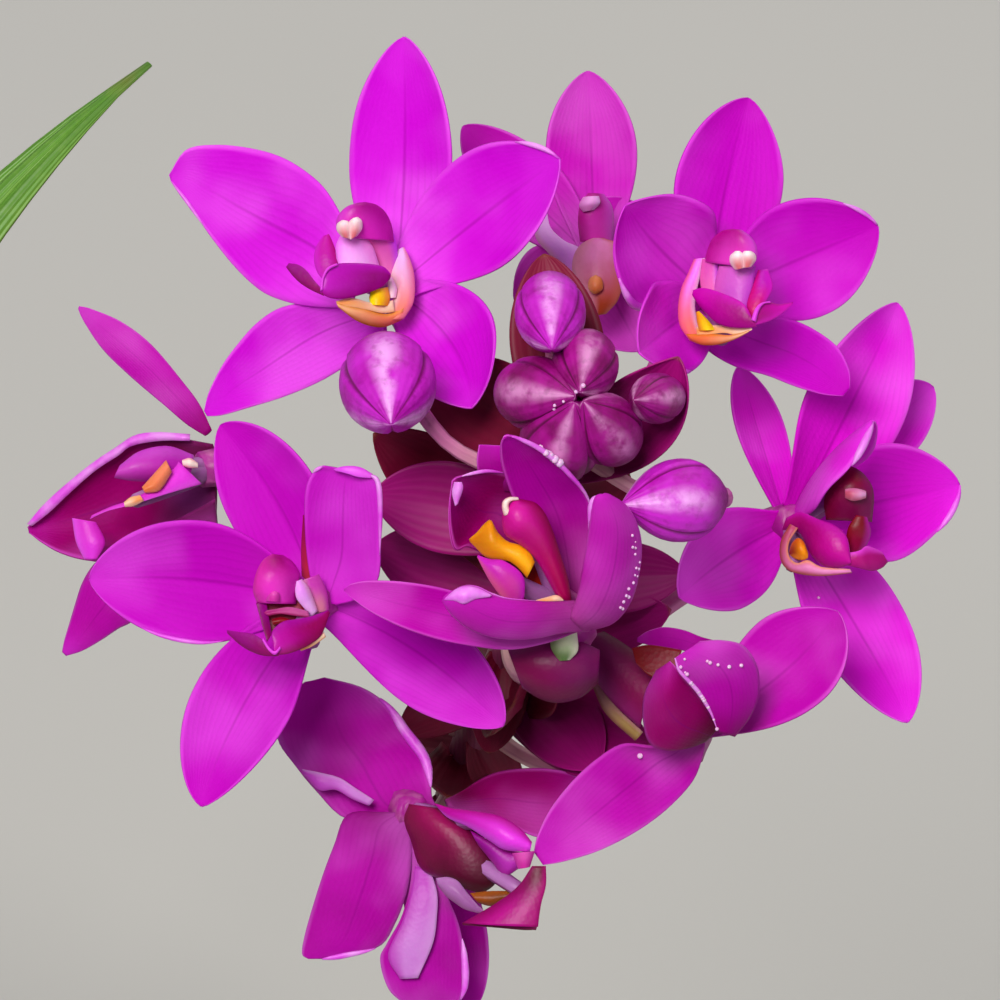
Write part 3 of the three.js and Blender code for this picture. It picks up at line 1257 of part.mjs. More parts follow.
function leafSolid(leaf) {
  const top = bulbTop(BULBS[leaf.bulb]);
  const base = top.clone().add(new THREE.Vector3(leaf.seat[0], leaf.seat[1], CLEARANCE));
  const rising = base.clone().add(new THREE.Vector3(0, 0, LEAF_RISE));
  const guides = [leaf.knee, leaf.brow, leaf.tip].map((point) => new THREE.Vector3(...point));
  const spine = guidedCurve([base, rising, ...guides]);
  const lift = base.clone().sub(guides[0]).setZ(0).normalize();
  const columns = LEAF_PLEATS * 2;
  const inner = [];
  const outer = [];
  for (let r = 0; r <= LEAF_ROWS; r += 1) {
    const along = r / LEAF_ROWS;
    const { middle, going } = spine(along);
    lift.addScaledVector(going, -going.dot(lift)).normalize();
    const side = new THREE.Vector3().crossVectors(going, lift);
    const half = leafHalfWidth(leaf.width, along);
    const pleat = PLEAT_HEIGHT * Math.min(half / FULL_PLEAT_HALF_WIDTH, 1);
    const innerRow = [];
    const outerRow = [];
    for (let c = 0; c <= columns; c += 1) {
      const across = (2 * c) / columns - 1;
      const fold = (c % 2 === 0 ? 1 : -1) * pleat * 0.5;
      const point = middle.clone()
        .addScaledVector(side, half * across)
        .addScaledVector(lift, fold + half * LEAF_TROUGH * across * across);
      innerRow.push(point);
      outerRow.push(point.clone().addScaledVector(lift, -LEAF_THICKNESS));
    }
    inner.push(innerRow);
    outer.push(outerRow);
  }
  return sheetSolid(inner, outer);
}

// Pot and soil
function potRadiusAt(height) {
  return THREE.MathUtils.lerp(POT_BASE_RADIUS, POT_TOP_RADIUS, height / POT_HEIGHT);
}

function potSolid() {
  const shoulder = POT_HEIGHT - RIM_HEIGHT;
  const lip = POT_HEIGHT - RIM_BEVEL;
  const outside = potRadiusAt(POT_HEIGHT) + RIM_STEP;
  const inside = potRadiusAt(POT_HEIGHT) - POT_WALL;
  const profile = [
    [0, 0],
    [POT_BASE_RADIUS, 0],
    [potRadiusAt(shoulder), shoulder],
    [potRadiusAt(shoulder) + RIM_STEP, shoulder + RIM_BEVEL],
    [outside, lip],
    [outside - RIM_BEVEL, POT_HEIGHT],
    [inside + RIM_BEVEL, POT_HEIGHT],
    [inside, lip],
    [potRadiusAt(POT_WALL) - POT_WALL, POT_WALL],
    [0, POT_WALL],
  ];
  let pot = turnedSolid(profile, POT_SIDES);
  for (let k = 0; k < DRAIN_COUNT; k += 1) {
    const turn = (2 * Math.PI * (k + 0.5)) / DRAIN_COUNT;
    const [x, y] = [DRAIN_CIRCLE * Math.cos(turn), DRAIN_CIRCLE * Math.sin(turn)];
    pot = pot.subtract(postSolid(x, y, -1, POT_WALL + 1, DRAIN_RADIUS, DRAIN_SIDES));
  }
  return pot;
}

// The height of the soil: broad and fine lumps, never above its bump
function soilHeight(x, y) {
  const broad = Math.sin(x * 0.21 + 1.3) * Math.cos(y * 0.17);
  const fine = 0.6 * Math.sin(x * 0.43 - y * 0.37);
  return SOIL_LEVEL + (SOIL_BUMP * (broad + fine)) / 1.6;
}

function soilSolid() {
  const insideAt = (height) => potRadiusAt(height) - POT_WALL - 3 * CLEARANCE;
  const bottom = POT_WALL + CLEARANCE;
  const edge = insideAt(SOIL_LEVEL);
  const profile = [[0, bottom], [insideAt(bottom), bottom]];
  for (let ring = SOIL_RINGS; ring >= 0; ring -= 1) {
    profile.push([(edge * ring) / SOIL_RINGS, SOIL_LEVEL]);
  }
  const points = profile.map(([radius, height]) => new THREE.Vector2(radius, height));
  const geometry = new THREE.LatheGeometry(points, SOIL_SIDES);
  geometry.rotateX(Math.PI / 2);
  const position = geometry.attributes.position;
  for (let k = 0; k < position.count; k += 1) {
    const [x, y] = [position.getX(k), position.getY(k)];
    const atRim = Math.hypot(x, y) > edge - 1;
    if (position.getZ(k) > SOIL_LEVEL - 1 && !atRim) position.setZ(k, soilHeight(x, y));
  }
  let soil = solidOf(geometry);
  const top = SOIL_LEVEL + 3 * SOIL_BUMP;
  const foot = SOIL_LEVEL - BULB_FOOT_DEPTH;
  for (const { place: [x, y] } of BULBS) {
    soil = soil.subtract(postSolid(x, y, foot, top, BULB_FOOT_RADIUS + CLEARANCE, BULB_SIDES));
  }
  const { x, y, z } = SCAPE_FOOT;
  const hole = SCAPE_FOOT_RADIUS + 3 * CLEARANCE;
  return soil.subtract(postSolid(x, y, z - CLEARANCE, top, hole, SCAPE_SIDES));
}

function makePlant(group) {
  BULBS.forEach((bulb, k) => group.add(meshOf(`pseudobulb_${k + 1}`, bulbSolid(bulb), bulbSkin)));
  LEAVES.forEach((leaf, k) => group.add(meshOf(`leaf_${k + 1}`, leafSolid(leaf), leafGreen)));
  group.add(meshOf('scape', scapeSolid(), scapeSkin));
  for (const [name, bud] of Object.entries(BUDS)) {
    group.add(meshOf(name, stalkedBudSolid(bud), budMagenta));
  }
  group.add(meshOf('bud_crown', crownSolid(), budMagenta));
}

const orchid = new THREE.Group();
orchid.add(meshOf('pot', potSolid(), clay));
orchid.add(meshOf('soil', soilSolid(), bark));
makePlant(orchid);
makeBlooms(orchid);
export default orchid;
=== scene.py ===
"""A potted Philippine ground orchid: its looks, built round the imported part.

Shapes are worked out in millimetres and turned to metres where a mesh is made.
"""
import math

import bpy
import numpy as np
from mathutils import Matrix, Vector
from mathutils.geometry import tessellate_polygon


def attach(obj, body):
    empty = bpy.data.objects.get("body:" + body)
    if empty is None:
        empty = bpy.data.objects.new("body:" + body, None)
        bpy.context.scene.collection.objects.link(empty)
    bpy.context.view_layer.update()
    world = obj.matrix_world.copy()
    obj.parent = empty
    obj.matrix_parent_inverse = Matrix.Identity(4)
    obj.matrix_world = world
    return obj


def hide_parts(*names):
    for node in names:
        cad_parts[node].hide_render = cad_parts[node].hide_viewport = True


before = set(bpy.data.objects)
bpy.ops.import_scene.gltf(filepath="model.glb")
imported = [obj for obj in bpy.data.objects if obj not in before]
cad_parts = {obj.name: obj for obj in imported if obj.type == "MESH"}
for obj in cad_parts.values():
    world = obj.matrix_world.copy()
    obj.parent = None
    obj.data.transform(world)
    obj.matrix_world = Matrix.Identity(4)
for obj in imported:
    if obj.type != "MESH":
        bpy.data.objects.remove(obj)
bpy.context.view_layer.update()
MM = 0.001

# The flower head is laid out as the camera sees it: across, up and out towards the eye
EYE_ELEVATION = math.radians(52)
EYE_DISTANCE = 700.0
SEEN_HALF = 50.0
MIDDLE_PIXEL = 500.0
PIXELS_PER_MM = MIDDLE_PIXEL / SEEN_HALF
HEAD_MIDDLE = np.array([10.0, -20.0, 490.0])
ACROSS = np.array([1.0, 0.0, 0.0])
UP = np.array([0.0, math.sin(EYE_ELEVATION), math.cos(EYE_ELEVATION)])
OUT = np.array([0.0, -math.cos(EYE_ELEVATION), math.sin(EYE_ELEVATION)])


def head_way(way):
    """Directions of the head's layout, as directions in the frame."""
    way = np.asarray(way, float)
    return way[..., 0:1] * ACROSS + way[..., 1:2] * UP + way[..., 2:3] * OUT


def head_place(place):
    """Places as they appear to the eye, in millimetres at the head's middle, as real places."""
    place = np.asarray(place, float)
    nearer = (EYE_DISTANCE - place[..., 2:3]) / EYE_DISTANCE
    flat = place[..., 0:2] * nearer
    return HEAD_MIDDLE + head_way(np.concatenate([flat, place[..., 2:3]], axis=-1))


def unit(way):
    way = np.asarray(way, float)
    return way / np.linalg.norm(way, axis=-1, keepdims=True)


def square_to(way, axis):
    """The part of a direction that is square to an axis, at length one."""
    way = np.asarray(way, float)
    return unit(way - np.sum(way * axis, axis=-1, keepdims=True) * axis)


# Curves
def bezier(guides, along):
    """Places and directions at shares along a curve drawn by any number of guide points."""
    along = np.asarray(along, float)[:, None]
    points = [np.broadcast_to(np.asarray(g, float), (len(along), 3)) for g in guides]
    while len(points) > 2:
        points = [(1 - along) * a + along * b for a, b in zip(points, points[1:])]
    return (1 - along) * points[0] + along * points[1], unit(points[1] - points[0])


def smooth_path(points, count):
    """A smooth line through points, as count places evenly spread over their order."""
    points = np.asarray(points, float)
    ends = np.vstack([2 * points[0] - points[1], points, 2 * points[-1] - points[-2]])
    t = np.linspace(0, len(points) - 1 - 1e-9, count)
    k = t.astype(int)
    f = (t - k)[:, None]
    a, b, c, d = ends[k], ends[k + 1], ends[k + 2], ends[k + 3]
    bend = 2 * a - 5 * b + 4 * c - d
    twist = 3 * b - a - 3 * c + d
    return 0.5 * (2 * b + (c - a) * f + bend * f**2 + twist * f**3)


def spread(values, count):
    """A list of values read evenly at count places."""
    values = np.asarray(values, float)
    return np.interp(np.linspace(0, 1, count), np.linspace(0, 1, len(values)), values)


# Shapes: each returns corners, faces and a place across and along for every corner
def join_shapes(shapes):
    corners, faces, places = [], [], []
    start = 0
    for shape_corners, shape_faces, shape_places in shapes:
        corners.append(shape_corners)
        places.append(shape_places)
        faces.extend([[index + start for index in face] for face in shape_faces])
        start += len(shape_corners)
    return np.vstack(corners), faces, np.vstack(places)


def grid_faces(rows, columns, start=0, flip=False):
    row, column = np.meshgrid(np.arange(rows - 1), np.arange(columns - 1), indexing="ij")
    first = (row * columns + column).ravel() + start
    corners = [first, first + 1, first + columns + 1, first + columns]
    if flip:
        corners.reverse()
    return np.stack(corners, 1).tolist()


def sheet(inner, outer):
    """A closed thin sheet between two grids of points."""
    rows, columns = inner.shape[:2]
    count = rows * columns
    faces = grid_faces(rows, columns) + grid_faces(rows, columns, count, flip=True)
    rim = list(range(columns))
    rim += [row * columns + columns - 1 for row in range(1, rows)]
    rim += [(rows - 1) * columns + column for column in range(columns - 2, -1, -1)]
    rim += [row * columns for row in range(rows - 2, 0, -1)]
    for here, there in zip(rim, rim[1:] + rim[:1]):
        faces.append([there, here, here + count, there + count])
    across, along = np.meshgrid(np.linspace(0, 1, columns), np.linspace(0, 1, rows))
    places = np.stack([across.ravel(), along.ravel()], 1)
    back = places + [2.0, 0.0]
    return np.vstack([inner.reshape(-1, 3), outer.reshape(-1, 3)]), faces, np.vstack([places, back])


def grid_normals(grid):
    normals = np.cross(np.gradient(grid, axis=1), np.gradient(grid, axis=0))
    normals /= np.maximum(np.linalg.norm(normals, axis=-1, keepdims=True), 1e-9)
    normals[-1] = normals[-2]
    return normals


def thickened(grid, thickness, edge=0.4):
    """A sheet under a grid, thinner towards its end and, to a share, at its edges."""
    rows, columns = grid.shape[:2]
    across = np.linspace(-1, 1, columns)[None, :, None]
    along = np.linspace(0, 1, rows)[:, None, None]
    crown = edge + (1 - edge) * np.sqrt(np.clip(1 - across**2, 0, 1))
    return sheet(grid, grid - grid_normals(grid) * thickness * crown * (1 - 0.5 * along**3))


def turns(sides):
    return np.linspace(0, 2 * math.pi, sides, endpoint=False)


def ring_quads(rows, sides):
    """The faces between each two rings of a stack."""
    quads = []
    for row in range(rows - 1):
        for k in range(sides):
            here, there = row * sides + k, row * sides + (k + 1) % sides
            quads.append([here, here + sides, there + sides, there])
    return quads


def ring_places(rows, sides):
    across = np.tile(np.arange(sides) / sides, rows)
    return np.stack([across, np.repeat(np.linspace(0, 1, rows), sides)], 1)


def stem(points, radii, sides, facing=(0.1, 0.2, 1.0), ridges=None):
    """A closed stem through points. ridges gives a share of the radius for each turn."""
    points = np.asarray(points, float)
    going = unit(np.gradient(points, axis=0))
    side = unit(np.cross(going, np.broadcast_to(np.asarray(facing, float), going.shape)))
    lift = np.cross(side, going)
    turn = turns(sides)
    shape = np.ones(sides) if ridges is None else ridges(turn)
    radius = np.asarray(radii, float)[:, None, None]
    right = (np.cos(turn) * shape)[None, :, None] * side[:, None, :]
    high = (np.sin(turn) * shape)[None, :, None] * lift[:, None, :]
    ring = points[:, None, :] + radius * (right + high)
    rows = len(points)
    corners = np.vstack([ring.reshape(-1, 3), points[0], points[-1]])
    faces = ring_quads(rows, sides)
    top = (rows - 1) * sides
    for k in range(sides):
        after = (k + 1) % sides
        faces.append([rows * sides, k, after])
        faces.append([rows * sides + 1, top + after, top + k])
    return corners, faces, np.vstack([ring_places(rows, sides), [[0.5, 0.0], [0.5, 1.0]]])


BLADE = dict(
    claw=0.34, widest=0.5, arch=0.25, curl=0.2, sweep=0.0, cup=(0.5, 0.5),
    groove=0.3, wave=0.0, phase=0.0,
)
BLADE_CROWDING = 1.25
BLADE_POINT = 0.7
BLADE_WAVES = 1.5
GROOVE_WIDTH = 0.13


def blade_outline(along, claw, widest):
    """Half-width share: a narrow claw, a widest place and a pointed end."""
    rise = np.clip(along / widest, 0, 1)
    grown = claw + (1 - claw) * np.sin(rise * math.pi / 2) ** 1.3
    fall = np.clip((along - widest) / (1 - widest), 0, 1)
    return grown * np.maximum(1 - fall**2, 0.0004) ** BLADE_POINT


def blade_grid(base, tip, face, width, form, rows, columns):
    """The inner face of a petal, sepal, lobe or bract, as a grid of points."""
    shape = {**BLADE, **form}
    base, tip = np.asarray(base, float), np.asarray(tip, float)
    length = np.linalg.norm(tip - base)
    ahead = (tip - base) / length
    facing = square_to(face, ahead)
    sideways = np.cross(ahead, facing)
    start = unit(ahead - shape["arch"] * facing + shape["sweep"] * sideways)
    end = unit(ahead + shape["curl"] * facing - shape["sweep"] * sideways)
    along = 1 - (1 - np.linspace(0, 1, rows + 1)) ** BLADE_CROWDING
    guides = [base, base + start * length / 3, tip - end * length / 3, tip]
    middle, going = bezier(guides, along)
    lift = square_to(np.broadcast_to(facing, going.shape), going)
    side = np.cross(going, lift)
    half = width / 2 * blade_outline(along, shape["claw"], shape["widest"])
    half = half[:, None, None]
    bow = shape["cup"][0] + (shape["cup"][1] - shape["cup"][0]) * along + 1e-4
    bow = bow[:, None, None]
    across = np.linspace(-1, 1, columns + 1)[None, :, None]
    far = along[:, None, None]
    out = half * np.sin(across * bow) / bow
    rise = half * (1 - np.cos(across * bow)) / bow
    rise = rise - shape["groove"] * np.exp(-((across / GROOVE_WIDTH) ** 2)) * (1 - far**2)
    ripple = np.sin(2 * math.pi * (BLADE_WAVES * far + shape["phase"]) + (across > 0) * 1.3)
    rise = rise + shape["wave"] * ripple * np.abs(across) ** 2.5 * np.sin(math.pi * far)
    return middle[:, None, :] + side[:, None, :] * out + lift[:, None, :] * rise


def traced(points):
    """Points traced in the photograph's pixels, each with its millimetres out, as real places."""
    points = np.asarray(points, float)
    seen = (points[:, :2] - MIDDLE_PIXEL) / (PIXELS_PER_MM, -PIXELS_PER_MM)
    return head_place(np.column_stack([seen, points[:, 2]]))


def drape(first, second, bulge, rows, columns):
    """A grid between two traced edges, bowed towards the eye by a share of its width."""
    start, end = (smooth_path(traced(edge), rows)[:, None, :] for edge in (first, second))
    across = np.linspace(0, 1, columns)[None, :, None]
    width = np.linalg.norm(end - start, axis=2, keepdims=True)
    return start + (end - start) * across + OUT * width * bulge * 4 * across * (1 - across)


CUSHION_GRID = (24, 14)
CUSHION_EDGE = 0.08


def cushion(first, second, front, back):
    """A closed full form between two traced edges: bowed towards the eye and away from it."""
    near = drape(first, second, front, *CUSHION_GRID)
    far = drape(first, second, -back, *CUSHION_GRID)
    return sheet(near + OUT * CUSHION_EDGE, far - OUT * CUSHION_EDGE)


# Materials
def linear(colour):
    """A colour read off the photograph, from its 0 to 255 numbers to light."""
    share = np.asarray(colour, float) / 255
    return tuple(np.where(share <= 0.04045, share / 12.92, ((share + 0.055) / 1.055) ** 2.4)) + (1.0,)


NOISE_ROUGHNESS = 0.55


class Surface:
    """A node material, with short calls for the nodes it is built from."""

    def __init__(self, name, roughness, **sockets):
        self.material = bpy.data.materials.new(name)
        self.material.use_nodes = True
        self.tree = self.material.node_tree
        self.shader = self.tree.nodes["Principled BSDF"]
        self.shader.inputs["Roughness"].default_value = roughness
        for socket, value in sockets.items():
            self.shader.inputs[socket.replace("_", " ")].default_value = value

    def node(self, kind, **inputs):
        made = self.tree.nodes.new(kind)
        for name, value in inputs.items():
            self.feed(made.inputs[name.replace("_", " ")], value)
        return made

    def feed(self, socket, value):
        if isinstance(value, bpy.types.NodeSocket):
            self.tree.links.new(value, socket)
        elif isinstance(value, tuple) and len(value) == 3 and socket.type == "RGBA":
            socket.default_value = linear(value)
        else:
            socket.default_value = value

    def math(self, operation, *values):
        made = self.tree.nodes.new("ShaderNodeMath")
        made.operation = operation
        for socket, value in zip(made.inputs, values):
            self.feed(socket, value)
        return made.outputs[0]

    def mix(self, share, first, second):
        made = self.tree.nodes.new("ShaderNodeMix")
        made.data_type = "RGBA"
        for socket, value in zip((0, 6, 7), (share, first, second)):
            self.feed(made.inputs[socket], value)
        return made.outputs[2]

    def over(self, colour, shade, where, amount):
        """A colour with a shade laid over it, as strongly as where times amount says."""
        return self.mix(self.math("MULTIPLY", where, amount), colour, shade)

    def between(self, value, low, high):
        """0 below low, 1 above high, with a soft step between; falling if low is above high."""
        made = self.tree.nodes.new("ShaderNodeMapRange")
        made.interpolation_type = "SMOOTHSTEP"
        rising = low < high
        ends = (min(low, high), max(low, high), 0.0 if rising else 1.0, 1.0 if rising else 0.0)
        for socket, end in zip(made.inputs, (value, *ends)):
            self.feed(socket, end)
        return made.outputs[0]

    def noise(self, scale, detail=3.0):
        return self.pattern("Noise", "Fac", Scale=scale, Detail=detail, Roughness=NOISE_ROUGHNESS)

    def cells(self, scale):
        return self.pattern("Voronoi", "Distance", Scale=scale)

    def pattern(self, kind, output, **inputs):
        """A pattern that lies fixed in the plant's own space."""
        made = self.node("ShaderNodeTex" + kind, **inputs)
        self.feed(made.inputs["Vector"], self.place)
        return made.outputs[output]

    @property
    def place(self):
        return self.node("ShaderNodeTexCoord").outputs["Object"]

    def measures(self, of):
        made = self.tree.nodes.new("ShaderNodeSeparateXYZ")
        self.feed(made.inputs[0], of)
        return made.outputs

    @property
    def height(self):
        return self.measures(self.place)[2]

    def across_and_along(self):
        """The piece's own measures: 0 to 1 across (2 to 3 on its outer face), and 0 to 1 along."""
        return self.measures(self.node("ShaderNodeUVMap").outputs[0])[:2]

    def colour(self, value):
        self.feed(self.shader.inputs["Base Color"], value)

    def bump(self, height, strength, distance):
        made = self.node("ShaderNodeBump", Height=height, Strength=strength, Distance=distance * MM)
        self.feed(self.shader.inputs["Normal"], made.outputs[0])


def sided(surface, across):
    """Splits the across measure in a place from 0 to 1 and a share that is 1 on the outer face."""
    outer = surface.math("GREATER_THAN", across, 1.5)
    inside = surface.math("SUBTRACT", across, surface.math("MULTIPLY", outer, 2.0))
    return inside, outer


def from_middle(surface, inside):
    """0 on the mid-line, 1 at either edge."""
    return surface.math("ABSOLUTE", surface.math("MULTIPLY_ADD", inside, 2.0, -1.0))


def soft_surface(name, roughness, depth, reach, weight=0.2, **sockets):
    """A surface that light sinks into, by a depth in millimetres and a reach for each colour."""
    sockets |= dict(Subsurface_Weight=weight, Subsurface_Scale=depth * MM, Subsurface_Radius=reach)
    return Surface(name, roughness, **sockets)


def petal_surface(name, base, throat, tip, rim):
    """Petal skin: faint veins along it, a painted highlight along its rim, and a fine sparkle of cells."""
    gloss = dict(Specular_IOR_Level=0.18, Specular_Tint=linear((255, 120, 255)))
    s = soft_surface(name, 0.5, 1.2, (1.0, 0.15, 1.0), **gloss)
    across, along = s.across_and_along()
    inside, outer = sided(s, across)
    edge = from_middle(s, inside)
    # Towards its foot the petal runs into its throat colour, which for some blooms is painted shade
    colour = s.mix(s.between(along, 0.0, 0.38), throat, base)
    colour = s.over(colour, tip, s.between(along, 0.6, 1.0), 0.7)
    patches = s.math("MULTIPLY", s.between(s.noise(85.0, 2.0), 0.42, 0.72), 0.42)
    colour = s.mix(patches, colour, rim)
    dusk = s.math("MULTIPLY", s.between(s.noise(95.0, 2.0), 0.55, 0.3), 0.35)
    colour = s.mix(dusk, colour, throat)
    spread_out = s.math("MULTIPLY", s.math("SUBTRACT", inside, 0.5), s.math("ADD", along, 0.6))
    wander = s.math("MULTIPLY", s.noise(70.0, 3.0), 0.16)
    stripes = s.math("SINE", s.math("MULTIPLY", s.math("ADD", spread_out, wander), 96.0))
    veins = s.math("MULTIPLY", s.between(stripes, 0.2, 1.0), s.between(s.noise(60.0, 2.0), 0.3, 0.6))
    fade = s.math("MULTIPLY", s.between(along, 1.0, 0.5), 0.08)
    colour = s.over(colour, (110, 0, 100), veins, fade)
    midrib = s.math("MULTIPLY", s.between(edge, 0.05, 0.0), s.between(along, 1.0, 0.3))
    colour = s.over(colour, (120, 0, 112), midrib, 0.35)
    # Painted highlight: the rim colour laid along each petal's edge
    painted_highlight = s.math("MULTIPLY", s.between(edge, 0.88, 1.0), s.between(along, 0.1, 0.9))
    colour = s.over(colour, rim, painted_highlight, 0.6)
    colour = s.over(colour, rim, outer, 0.06)
    s.colour(colour)
    height = s.math("ADD", s.math("MULTIPLY", stripes, 0.1), s.math("MULTIPLY", s.cells(2600.0), 0.45))
    s.bump(height, 0.3, 0.12)
    return s.material


# Petal colours of each bloom: base, throat, tip and rim. The dark throats of d, g, h and i are painted
# shade where their petals meet, and h is darker throughout, partly as painted shade.
PETAL_COLOURS = {
    "a": ((206, 10, 212), (226, 50, 232), (204, 12, 210), (250, 112, 252)),
    "b": ((196, 6, 192), (202, 24, 194), (188, 4, 180), (242, 92, 242)),
    "c": ((190, 6, 186), (196, 20, 188), (194, 10, 188), (232, 84, 234)),
    "d": ((182, 2, 164), (136, 0, 96), (196, 14, 186), (236, 110, 230)),
    "e": ((218, 16, 208), (208, 12, 194), (224, 36, 220), (248, 110, 248)),
    "f": ((196, 20, 182), (216, 90, 206), (190, 16, 176), (230, 110, 224)),
    "g": ((184, 10, 166), (140, 2, 106), (196, 40, 190), (232, 110, 226)),
    "h": ((172, 4, 154), (120, 0, 92), (186, 20, 172), (226, 110, 224)),
    "i": ((186, 8, 170), (140, 0, 112), (194, 24, 184), (232, 110, 226)),
}


def roll_surface():
    """The paler outer skin that a rolled margin turns to the eye, made paler still as painted highlight."""
    s = soft_surface("rolled margin skin", 0.45, 0.8, (1.0, 0.4, 1.0))
    patches = s.between(s.noise(260.0, 3.0), 0.35, 0.7)
    # Pale outer skin and painted highlight together
    s.colour(s.mix(patches, (226, 66, 228), (238, 150, 244)))
    s.bump(s.cells(2400.0), 0.25, 0.1)
    return s.material


def dew_surface():
    """Small beads of dew, whitish pink from the petals they lie on."""
    s = Surface("dew", 0.12, Subsurface_Weight=0.2, Subsurface_Scale=0.5 * MM)
    s.colour(s.mix(s.noise(1500.0), (238, 150, 226), (255, 226, 246)))
    return s.material


def cap_surface():
    s = soft_surface("anther cap skin", 0.4, 0.8, (1.0, 0.6, 0.6), 0.35)
    across, _ = s.across_and_along()
    under = s.between(s.math("COSINE", s.math("MULTIPLY", across, 2 * math.pi)), 0.0, 0.9)
    colour = s.over((255, 230, 222), (246, 140, 170), under, 0.7)
    s.colour(s.over(colour, (250, 190, 170), s.noise(1500.0), 0.3))
    s.bump(s.noise(3000.0), 0.2, 0.08)
    return s.material


def bud_surface(name, dark, skin, ridge_highlight, seam):
    """Bud skin: three sepals meeting in darker seams, with a painted highlight along each one's ridge."""
    s = soft_surface(name, 0.46, 1.2, (1.0, 0.3, 1.0), Specular_IOR_Level=0.3)
    across, along = s.across_and_along()
    third = s.math("FRACT", s.math("MULTIPLY", across, 3.0))
    edge = from_middle(s, third)
    colour = s.mix(s.between(s.noise(240.0, 3.0), 0.3, 0.65), dark, skin)
    # Painted highlight: a pale, frayed streak along each sepal's ridge
    ridge = s.math("MULTIPLY", s.between(edge, 0.5, 0.0), s.between(along, 0.12, 0.6))
    frayed_highlight = s.math("MULTIPLY", ridge, s.between(s.noise(420.0, 4.0), 0.25, 0.6))
    colour = s.over(colour, ridge_highlight, frayed_highlight, 0.85)
    colour = s.over(colour, seam, s.between(edge, 0.9, 1.0), 0.85)
    colour = s.over(colour, seam, s.between(along, 0.4, 0.0), 0.8)
    crossing = s.math("MULTIPLY", s.between(s.noise(900.0, 3.0), 0.5, 0.75), 0.35)
    colour = s.mix(crossing, colour, seam)
    s.colour(colour)
    stripes = s.math("SINE", s.math("MULTIPLY", across, 150.0))
    height = s.math("ADD", s.math("MULTIPLY", stripes, 0.25), s.math("MULTIPLY", s.cells(2000.0), 0.5))
    s.bump(height, 0.4, 0.14)
    return s.material


def tinted_surface(name, foot, tip, first, second):
    """A soft skin that runs from one colour to another along it, and to others at either side."""
    s = soft_surface(name, 0.42, 0.8, (1.0, 0.3, 0.8), Specular_IOR_Level=0.25)
    across, along = s.across_and_along()
    inside, _ = sided(s, across)
    colour = s.mix(s.between(along, 0.1, 0.85), foot, tip)
    colour = s.over(colour, first, s.between(inside, 0.4, 0.0), 0.9)
    colour = s.over(colour, second, s.between(inside, 0.6, 1.0), 0.9)
    patches = s.between(s.noise(420.0, 3.0), 0.4, 0.75)
    s.colour(s.over(colour, foot, patches, 0.22))
    s.bump(s.cells(2300.0), 0.22, 0.1)
    return s.material


def scape_surface():
    """Scape and stalks: dull green low down, flushed dark magenta in the head."""
    s = Surface("scape skin", 0.5)
    rising = s.between(s.height, 0.30, 0.45)
    colour = s.mix(rising, (92, 116, 44), (126, 40, 84))
    colour = s.over(colour, (156, 84, 92), s.between(s.noise(420.0), 0.35, 0.7), 0.4)
    stripes = s.pattern("Wave", "Fac", Scale=700.0, Distortion=2.0)
    s.colour(s.over(colour, (60, 40, 34), stripes, 0.14))
    s.bump(stripes, 0.2, 0.15)
    return s.material


def pedicel_surface():
    """Flower stalks: pale and greenish pink at the scape, flushed magenta at the flower."""
    s = soft_surface("pedicel skin", 0.48, 1.2, (1.0, 0.45, 0.8))
    across, along = s.across_and_along()
    colour = s.mix(s.between(along, 0.0, 0.5), (214, 172, 166), (206, 96, 170))
    colour = s.mix(s.between(along, 0.55, 0.9), colour, (170, 20, 146))
    colour = s.over(colour, (228, 170, 190), s.between(s.noise(520.0), 0.45, 0.75), 0.3)
    stripes = s.math("SINE", s.math("MULTIPLY", across, 2 * math.pi * 6))
    s.colour(s.over(colour, (140, 20, 104), s.between(stripes, 0.3, 1.0), 0.25))
    s.bump(stripes, 0.3, 0.12)
    return s.material


def bract_surface(name, dark, light):
    """Bracts: dull red or wine, streaked along and brownish at their tips."""
    s = Surface(name, 0.5, Specular_IOR_Level=0.25)
    across, along = s.across_and_along()
    inside, _ = sided(s, across)
    stripes = s.math("SINE", s.math("MULTIPLY", inside, 60.0))
    colour = s.mix(s.between(along, 0.2, 0.9), dark, light)
    colour = s.over(colour, (60, 0, 24), s.between(stripes, 0.4, 1.0), 0.08)
    colour = s.over(colour, light, s.between(s.noise(300.0), 0.4, 0.75), 0.45)
    dry = s.math("MULTIPLY", s.between(along, 0.93, 1.0), 0.6)
    s.colour(s.mix(dry, colour, (126, 66, 40)))
    s.bump(stripes, 0.12, 0.12)
    return s.material


